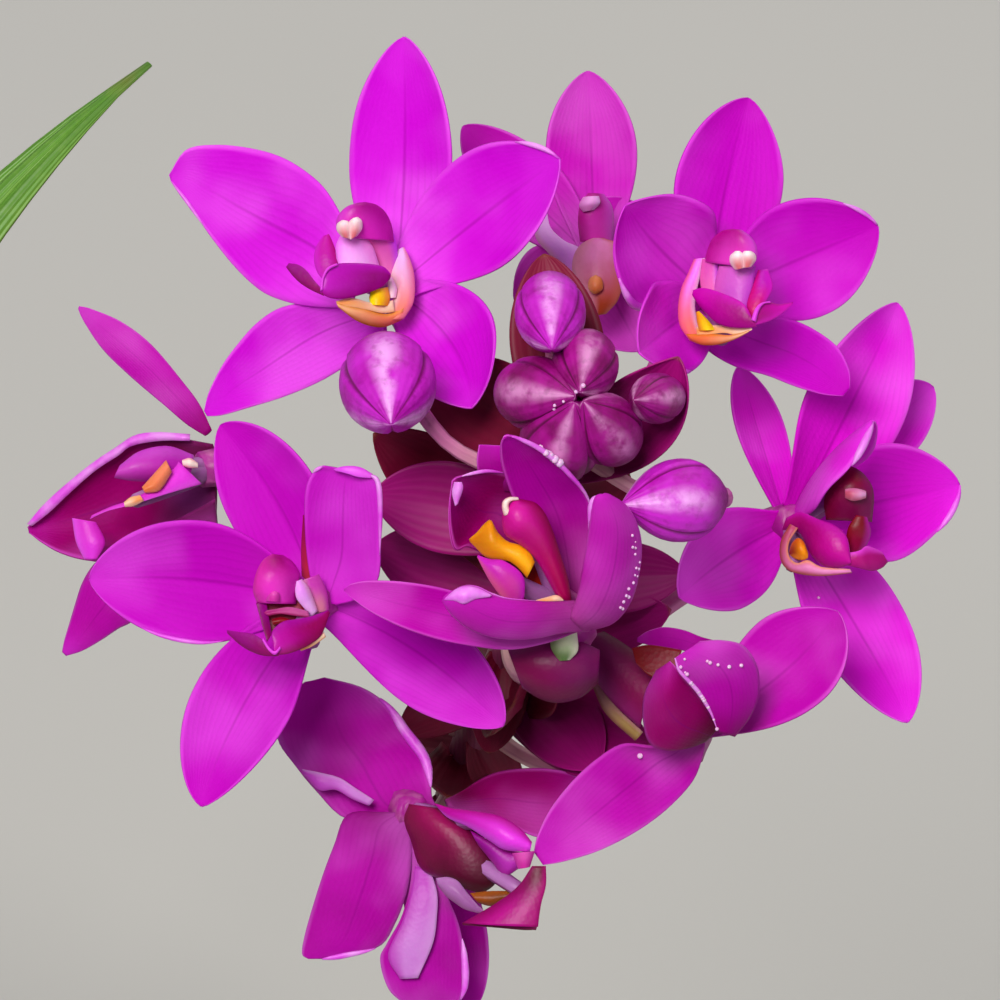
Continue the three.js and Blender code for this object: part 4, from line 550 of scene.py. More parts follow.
def leaf_surface():
    """Pleated leaf: parallel veins, yellower on the ridges and darker in the folds."""
    s = Surface("leaf skin", 0.44)
    across, along = s.across_and_along()
    inside, outer = sided(s, across)
    folds = s.math("COSINE", s.math("MULTIPLY", inside, 2 * math.pi * LEAF_FOLDS))
    veins = s.math("SINE", s.math("MULTIPLY", inside, 2 * math.pi * LEAF_VEINS))
    broad = s.noise(28.0, 4.0)
    colour = s.mix(s.between(broad, 0.3, 0.7), (70, 134, 14), (96, 158, 24))
    colour = s.over(colour, (132, 176, 52), s.between(folds, 0.1, 1.0), 0.35)
    colour = s.over(colour, (40, 88, 18), s.between(folds, -0.3, -1.0), 0.35)
    colour = s.over(colour, (46, 94, 20), s.between(veins, 0.55, 1.0), 0.22)
    cells = s.noise(900.0, 2.0)
    colour = s.over(colour, (140, 180, 70), s.between(cells, 0.45, 0.7), 0.16)
    dry = s.math("MULTIPLY", s.between(along, 0.985, 1.0), s.between(s.noise(80.0), 0.4, 0.6))
    colour = s.mix(dry, colour, (132, 96, 40))
    edge = from_middle(s, inside)
    colour = s.over(colour, (150, 168, 80), s.between(edge, 0.965, 1.0), 0.6)
    colour = s.over(colour, (120, 156, 76), outer, 0.25)
    s.colour(colour)
    height = s.math("ADD", s.math("MULTIPLY", veins, 0.6), s.math("MULTIPLY", cells, 0.4))
    s.bump(height, 0.4, 0.2)
    return s.material


def bulb_surface():
    """Pseudobulb skin: olive green with ring scars and fibrous dry sheath remains."""
    s = Surface("pseudobulb skin", 0.5)
    across, along = s.across_and_along()
    patches = s.noise(120.0, 4.0)
    colour = s.mix(s.between(patches, 0.35, 0.65), (112, 124, 52), (136, 150, 66))
    rings = s.math("SINE", s.math("MULTIPLY", along, 40.0))
    colour = s.over(colour, (96, 74, 40), s.between(rings, 0.8, 1.0), 0.55)
    fibres = s.math("SINE", s.math("MULTIPLY", across, 2 * math.pi * 46))
    dry = s.between(s.math("ADD", s.noise(60.0, 3.0), s.math("MULTIPLY", along, -0.5)), 0.28, 0.4)
    straw = s.mix(s.between(fibres, -0.4, 0.8), (122, 92, 54), (168, 138, 90))
    s.colour(s.mix(dry, colour, straw))
    s.bump(s.math("ADD", s.math("MULTIPLY", fibres, 0.4), rings), 0.35, 0.35)
    return s.material


def bark_surface():
    """Loose mix of bark chips and loam."""
    s = Surface("bark chips", 0.9, Specular_IOR_Level=0.25)
    patches = s.noise(130.0, 4.0)
    colour = s.mix(s.between(patches, 0.35, 0.65), (70, 46, 30), (112, 78, 52))
    grain = s.pattern("Wave", "Fac", Scale=260.0, Distortion=6.0, Detail=3.0)
    colour = s.over(colour, (46, 30, 20), grain, 0.4)
    specks = s.between(s.noise(1300.0, 2.0), 0.62, 0.72)
    s.colour(s.over(colour, (168, 138, 104), specks, 0.4))
    s.bump(s.math("ADD", grain, s.noise(700.0)), 0.6, 0.5)
    return s.material


def loam_surface():
    s = Surface("loam", 0.97, Specular_IOR_Level=0.15)
    crumbs = s.cells(420.0)
    colour = s.mix(s.between(s.noise(240.0, 4.0), 0.35, 0.65), (38, 26, 18), (66, 46, 32))
    s.colour(s.over(colour, (90, 66, 46), s.between(crumbs, 0.3, 0.0), 0.5))
    s.bump(s.math("ADD", crumbs, s.noise(900.0)), 0.8, 1.0)
    return s.material


def clay_surface():
    """Fired clay, thrown in faint rings, with patches of pale lime bloom."""
    s = Surface("fired clay", 0.82, Specular_IOR_Level=0.3)
    rings = s.math("SINE", s.math("MULTIPLY", s.height, 2400.0))
    patches = s.noise(34.0, 5.0)
    colour = s.mix(s.between(patches, 0.3, 0.7), (166, 92, 60), (190, 116, 80))
    specks = s.between(s.noise(1500.0, 2.0), 0.6, 0.7)
    colour = s.over(colour, (118, 62, 42), specks, 0.35)
    lime = s.math("MULTIPLY", s.between(s.noise(52.0, 6.0), 0.5, 0.72), 0.4)
    s.colour(s.mix(lime, colour, (214, 176, 150)))
    s.bump(s.math("ADD", s.math("MULTIPLY", rings, 0.2), s.noise(900.0)), 0.3, 0.3)
    return s.material


def floor_surface():
    s = Surface("pale floor", 0.85)
    s.colour(s.mix(s.noise(3.0), (206, 204, 199), (212, 210, 205)))
    return s.material


# Pieces
def unrolled(made, places):
    """A place for each corner of each face, with across going on past 1 where a stem closes."""
    corners = np.empty(len(made.loops), int)
    made.loops.foreach_get("vertex_index", corners)
    sizes = np.empty(len(made.polygons), int)
    made.polygons.foreach_get("loop_total", sizes)
    starts = np.concatenate([[0], np.cumsum(sizes)[:-1]])
    spots = np.array(places, float)[corners]
    across = spots[:, 0]
    lowest, highest = np.minimum.reduceat(across, starts), np.maximum.reduceat(across, starts)
    closing = np.repeat((highest - lowest > 0.5) & (highest <= 1), sizes)
    across[closing & (across < 0.5)] += 1
    return spots


def piece(name, shape, material, slot, *nodes):
    """A mesh of the object, riding on it and standing for the nodes it replaces."""
    corners, faces, places = shape
    made = bpy.data.meshes.new(name)
    made.from_pydata((corners * MM).tolist(), [], faces)
    made.uv_layers.new(name="UVMap").uv.foreach_set("vector", unrolled(made, places).ravel())
    made.polygons.foreach_set("use_smooth", [True] * len(made.polygons))
    made.materials.append(material)
    thing = bpy.data.objects.new(name, made)
    bpy.context.scene.collection.objects.link(thing)
    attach(thing, "root")
    if nodes:
        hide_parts(*nodes)
    return thing


# Blooms: heart is where the petals meet, looks the way they open, and root the place on the flower
# stem, as a share from the top. A petal or sepal is (tip across, tip up, tip out, width, form), or
# two edges traced in the photograph's pixels with the millimetres out, and how far it bulges
BLOOMS = {
    "a": dict(
        heart=(-10.8, 21.2, -8), looks=(-0.3, 0.1, 0.95), root=0.3,
        petals=[
            (-9.6, 46.3, -10, 11.4, dict(wave=0.25)),
            dict(bulge=-0.06,
                first=[(352, 306, -8.5), (333, 307, -9), (304, 305, -9.6), (282, 300, -10.2),
                    (260, 290, -10.8), (236, 268, -11.4), (212, 238, -11.8), (190, 206, -12),
                    (171, 181, -12.2)],
                second=[(360, 262, -8.2), (345, 225, -8.8), (325, 190, -9.6), (303, 170, -10.2),
                    (278, 156, -10.8), (248, 148, -11.4), (215, 145, -11.8), (186, 150, -12),
                    (169, 175, -12.2)]),
            (5.9, 34.1, 0, 12.4, dict(widest=0.55, sweep=-0.12, wave=0.3)),
            dict(bulge=-0.06,
                first=[(384, 322, -8.6), (385, 334, -9), (367, 349, -9.6), (345, 366, -10),
                    (318, 382, -10.4), (285, 396, -10.8), (250, 407, -11), (222, 415, -11.2),
                    (207, 416, -11.2)],
                second=[(356, 304, -9.4), (330, 303, -9.8), (305, 303, -10.2), (278, 309, -10.4),
                    (256, 324, -10.6), (238, 344, -10.8), (222, 366, -11), (209, 392, -11.2),
                    (204, 411, -11.3)]),
            (-2.9, 9.3, 3, 11, dict(sweep=-0.4, curl=0.3, wave=0.4)),
        ],
    ),
    "b": dict(
        heart=(21.4, 20.2, -9), looks=(0.2, -0.05, 0.97), root=0.26,
        petals=[
            (24.9, 40.2, -15, 11.6, dict(widest=0.52, sweep=-0.08, wave=0.3)),
            (12.6, 29.4, 0, 12.8, dict(sweep=-0.1, wave=0.5, phase=0.3)),
            (37.8, 27.4, -12, 12.6, dict(wave=0.4)),
            (14, 14.8, 1, 10, dict(wave=0.4)),
            dict(bulge=-0.06,
                first=[(745, 325, -9.4), (770, 318, -9.8), (795, 321, -10), (818, 332, -10),
                    (838, 348, -10), (849, 370, -10), (850, 388, -10)],
                second=[(700, 336, -9), (708, 350, -9.2), (735, 366, -9.4), (767, 375, -9.6),
                    (795, 386, -9.8), (822, 394, -10), (843, 396, -10)]),
        ],
    ),
    "c": dict(
        heart=(-18.7, -10.2, 2), looks=(-0.3, -0.1, 0.95), root=0.48,
        petals=[
            (-28, 7.5, -6, 10.6, dict(sweep=0.2, wave=0.3)),
            (-41.1, -7.9, -5, 12.8, dict(sweep=0.15, wave=0.4)),
            dict(bulge=-0.12,
                first=[(316, 604, 2.5), (308, 560, 3), (305, 520, 3.8), (306, 490, 4.5),
                    (313, 473, 4.8), (323, 466, 5)],
                second=[(336, 604, 2.5), (358, 598, 3.2), (377, 580, 4), (380, 540, 4.8),
                    (380, 500, 5.4), (377, 480, 5.6), (367, 474, 5.5)]),
            (-29.9, -30.6, 1, 10.4, dict(sweep=0.3, wave=0.3)),
            (0.3, -22.6, 1, 9.8, dict(widest=0.52, sweep=-0.2, wave=0.3)),
        ],
    ),
    "d": dict(
        heart=(6.3, -10.6, 9), looks=(-0.5, 0.3, 0.8), root=0.4,
        petals=[
            dict(bulge=-0.2,
                first=[(562, 606, 9), (540, 556, 9.5), (516, 505, 12), (503, 468, 15), (501, 447, 17),
                    (504, 438, 18)],
                second=[(582, 606, 9), (592, 556, 10), (590, 504, 12), (568, 473, 14.6),
                    (543, 451, 16.4), (520, 439, 17.6), (508, 436, 18.2)]),
            dict(bulge=-0.3, cup=True,
                first=[(552, 604, 9), (516, 578, 9.3), (488, 556, 10.5), (468, 546, 11.6),
                    (456, 549, 12.4), (451, 532, 13), (450, 508, 13.5), (453, 482, 14)],
                second=[(562, 596, 8.5), (552, 540, 8.5), (545, 500, 9.2), (530, 482, 10.6),
                    (508, 474, 11.8), (488, 471, 12.8), (470, 474, 13.4), (457, 478, 14)]),
            dict(bulge=0.25,
                first=[(585, 629, 10.5), (612, 622, 11.5), (630, 600, 12.5), (639, 565, 13.5),
                    (639, 535, 15), (628, 509, 17), (612, 497, 18.6), (604, 495, 19.2)],
                second=[(570, 616, 14), (578, 596, 15), (583, 570, 16.3), (587, 545, 17.5),
                    (590, 522, 18.6), (591, 508, 19.2), (594, 499, 19.6), (600, 495, 19.6)]),
            dict(bulge=-0.1,
                first=[(580, 630, 10), (548, 642, 11), (510, 649, 12), (470, 645, 12.5),
                    (435, 638, 12.6), (400, 626, 12.3), (370, 611, 11.5), (352, 598, 10.8),
                    (344, 591, 10.2)],
                second=[(560, 612, 10), (530, 608, 11), (500, 604, 12), (470, 596, 12.5),
                    (435, 587, 12.6), (400, 582, 12.3), (370, 581, 11.5), (352, 584, 10.8),
                    (344, 589, 10.2)]),
            dict(bulge=0.2,
                first=[(576, 601, 13), (552, 602, 15), (525, 601, 16.5), (505, 599, 17.5),
                    (490, 594, 18), (478, 588, 18.4), (465, 586, 18.6), (454, 591, 18.6),
                    (445, 597, 18.5)],
                second=[(592, 630, 11), (565, 631, 12.5), (535, 637, 14), (510, 638, 15),
                    (488, 635, 16), (468, 627, 17), (453, 615, 17.8), (446, 606, 18.2),
                    (443, 600, 18.3)]),
            dict(bulge=-0.1,
                first=[(488, 492, 10), (480, 478, 11.5), (477, 462, 12.5), (479, 445, 13)],
                second=[(522, 492, 10), (512, 478, 11.5), (505, 462, 12.8), (503, 446, 13.2)]),
        ],
    ),
    "e": dict(
        heart=(29.5, -2.2, -13), looks=(0.35, -0.05, 0.93), root=0.52,
        petals=[
            (39.8, 19.7, -20, 11.4, dict(sweep=0.15, wave=0.3)),
            (37.3, 7.8, -6, 10, dict(cup=(0.9, 0.9), faces=(0.7, -0.6, 0.1), wave=0.3)),
            (46, 1.5, -20, 12.4, dict(wave=0.6, phase=0.3)),
            (18, -9.7, -9, 10.6, dict(sweep=0.1, wave=0.4)),
            (40.8, -22.2, -14, 10.4, dict(sweep=-0.15, wave=0.3)),
            (23.9, 13.4, -25, 5.6, dict(widest=0.6, sweep=0.1)),
            (43.4, 11.3, -28, 8, dict(widest=0.7)),
        ],
    ),
    "f": dict(
        heart=(9.6, 23.8, -27), looks=(0, 0.1, 0.98), root=0.44,
        petals=[
            (8.8, 42.9, -32, 9.8, dict(widest=0.55, wave=0.3)),
            (-3.7, 37.4, -31, 8.5, {}),
            (13, 30, -30, 8, {}),
            (1.5, 20, -29, 8.6, {}),
            (14, 15, -26, 9, {}),
        ],
    ),
    "g": dict(
        heart=(-29.2, 3.2, -23), looks=(-0.85, -0.2, 0.4), root=0.62,
        petals=[
            dict(bulge=-0.25, cup=True,
                first=[(214, 520, -22), (165, 545, -25), (118, 560, -28), (85, 559, -29),
                    (60, 552, -30), (42, 542, -31), (29, 532, -31.5)],
                second=[(212, 445, -24), (162, 437, -27), (128, 442, -28), (95, 466, -29),
                    (68, 490, -30), (44, 510, -31), (28, 528, -31.5)]),
            dict(bulge=0.08,
                first=[(205, 436, -24), (186, 424, -24.5), (165, 406, -25), (133, 379, -26),
                    (103, 350, -26.6), (84, 322, -27), (78, 309, -27)],
                second=[(212, 430, -24), (200, 405, -24.5), (184, 383, -25), (152, 345, -26),
                    (122, 322, -26.6), (92, 309, -27), (79, 306, -27)]),
            dict(bulge=0.15,
                first=[(140, 560, -25.5), (142, 592, -26.5), (134, 619, -27), (118, 629, -27.5),
                    (100, 641, -28), (82, 651, -28.3), (66, 656, -28.5)],
                second=[(108, 552, -26), (93, 565, -27), (82, 583, -27.5), (75, 604, -28),
                    (69, 624, -28.2), (64, 641, -28.4), (62, 652, -28.5)]),
            dict(bulge=-0.2, cup=True,
                first=[(215, 560, -21), (160, 590, -24), (130, 600, -26), (112, 600, -27)],
                second=[(215, 500, -20), (160, 530, -24), (125, 560, -26), (110, 590, -27)]),
        ],
    ),
    "h": dict(
        heart=(-8.8, -31.2, -13), looks=(0.3, -0.35, 0.88), root=0.72,
        petals=[
            dict(bulge=-0.1, cup=True,
                first=[(446, 800, -14), (465, 790, -15), (482, 779, -16), (500, 772, -16.6),
                    (522, 769, -17), (548, 769, -17.5), (572, 774, -18), (588, 788, -18)],
                second=[(450, 806, -14), (474, 813, -15), (496, 819, -16), (515, 827, -16.6),
                    (535, 836, -17), (555, 838, -17.5), (575, 828, -18), (589, 800, -18)]),
            dict(bulge=-0.08,
                first=[(420, 818, -13), (385, 820, -13.5), (344, 817, -14), (316, 790, -14.5),
                    (296, 766, -15), (279, 742, -15), (277, 718, -15), (285, 698, -15),
                    (305, 682, -15.5)],
                second=[(436, 812, -12.5), (434, 803, -12.5), (431, 795, -13), (430, 780, -13.5),
                    (424, 757, -14), (405, 731, -14.5), (388, 706, -15), (362, 688, -15.3),
                    (325, 678, -15.5)]),
            (-2.4, -50.6, -19, 8, {}),
            dict(bulge=0.06,
                first=[(420, 812, -12.5), (413, 838, -12), (411, 868, -12), (406, 895, -12),
                    (396, 922, -12), (380, 946, -12), (345, 955, -12), (322, 959, -12)],
                second=[(385, 812, -12.5), (348, 814, -12.5), (334, 845, -12.3), (322, 877, -12),
                    (311, 912, -12), (304, 938, -12), (302, 954, -12), (308, 959, -12)]),
            dict(bulge=0.05,
                first=[(432, 830, -12), (440, 878, -11), (450, 902, -10.5), (459, 925, -10.5),
                    (464, 952, -10.5), (465, 985, -10.5), (458, 1006, -11)],
                second=[(412, 830, -12), (411, 878, -11.5), (402, 915, -11), (387, 943, -10.8),
                    (380, 960, -10.8), (389, 990, -10.8), (410, 1008, -11)]),
        ],
    ),
    "i": dict(
        heart=(19.2, -22.8, -2), looks=(-0.1, 0.3, 0.9), root=0.58,
        petals=[
            dict(bulge=0.1,
                first=[(722, 662, -3), (700, 655, -4.5), (680, 650, -5), (662, 647, -5.5),
                    (648, 645, -6), (637, 642, -6)],
                second=[(722, 642, -3), (702, 637, -4.5), (684, 630, -5), (664, 627, -5.5),
                    (648, 631, -6), (637, 638, -6)]),
            dict(bulge=0.2,
                first=[(718, 732, 4), (712, 715, 4.8), (705, 702, 5.6), (697, 690, 6.4),
                    (688, 680, 7.2), (679, 670, 8), (675, 658, 8.4)],
                second=[(735, 737, 3), (750, 718, 3.2), (759, 695, 3.6), (758, 668, 4.6),
                    (744, 646, 6.2), (722, 640, 7.4), (700, 641, 8.2)]),
            (33.8, -11.2, -2, 10.8, dict(widest=0.62, sweep=0.25)),
            dict(bulge=-0.06,
                first=[(706, 738, 0), (702, 758, -1), (692, 782, -2), (668, 808, -3), (637, 831, -3.5),
                    (600, 850, -4), (565, 861, -4), (543, 865, -4)],
                second=[(680, 742, 0), (650, 748, -1), (622, 745, -2), (596, 760, -3), (572, 782, -3.5),
                    (550, 810, -4), (538, 835, -4), (534, 852, -4)]),
            dict(bulge=0.2, cup=True,
                first=[(706, 742, 1), (690, 748, 2), (668, 751, 3), (650, 744, 3.5), (643, 722, 4),
                    (644, 695, 4), (656, 670, 4.5)],
                second=[(717, 730, 2), (711, 716, 3), (703, 702, 4), (694, 688, 5), (684, 677, 6),
                    (677, 668, 6.5), (670, 661, 6.5)]),
        ],
    ),
}
PETAL_THICKNESS = 0.55
PETAL_GRID = (34, 18)
TRACED_GRID = (35, 19)
# Margins rolled in: petal, edge, from and to as shares of its length, and radius
ROLLS = {
    "a": [(1, 0, 0.8, 1.0, 0.2), (2, 0, 0.82, 1.0, 0.3)],
    "b": [(1, 0, 0.2, 0.62, 0.45), (3, 0, 0.5, 0.9, 0.35), (2, 0, 0.8, 1.0, 0.25)],
    "c": [(2, -1, 0.45, 1.0, 0.3), (2, 0, 0.8, 1.0, 0.2), (1, 0, 0.3, 0.7, 0.25)],
    "d": [
        (0, -1, 0.3, 0.97, 0.3),
        (1, -1, 0.6, 0.95, 0.2),
        (2, -1, 0.5, 0.98, 0.35),
        (4, 0, 0.1, 0.85, 0.2),
    ],
    "e": [(1, 0, 0.7, 1.0, 0.45), (2, -1, 0.75, 1.0, 0.35)],
    "h": [(1, -1, 0.35, 0.8, 0.6), (3, 0, 0.75, 1.0, 0.35), (4, 0, 0.6, 0.95, 0.4)],
    "i": [(1, 0, 0.05, 1.0, 0.25)],
}
# Dew in the head's layout: from, to, how many, and radius
DEW = {
    "d": [
        ((4, 5.3), (6.2, 3.6), 30, 0.36),
        ((13.3, -3.4), (13.8, -7.4), 16, 0.14),
        ((13.7, -7.4), (11.6, -12), 30, 0.17),
    ],
    "i": [
        ((17.6, -16), (21.6, -22.8), 26, 0.2),
        ((18.4, -16), (24.6, -17), 12, 0.18),
        ((13.9, -25.8), (13.9, -25.9), 3, 0.3),
    ],
    "e": [((29, -12), (32, -10), 5, 0.2)],
}
CROWN_DEW = [((5.3, 9.2), (8.4, 11.2), 12, 0.24)]
# How far along the bloom's looks each petal of its table starts, and how far out from its heart
PETAL_SEATS = (-0.9, -0.1, -0.1, -0.9, -0.9, -1.8, -1.8)
PETAL_START = 0.8

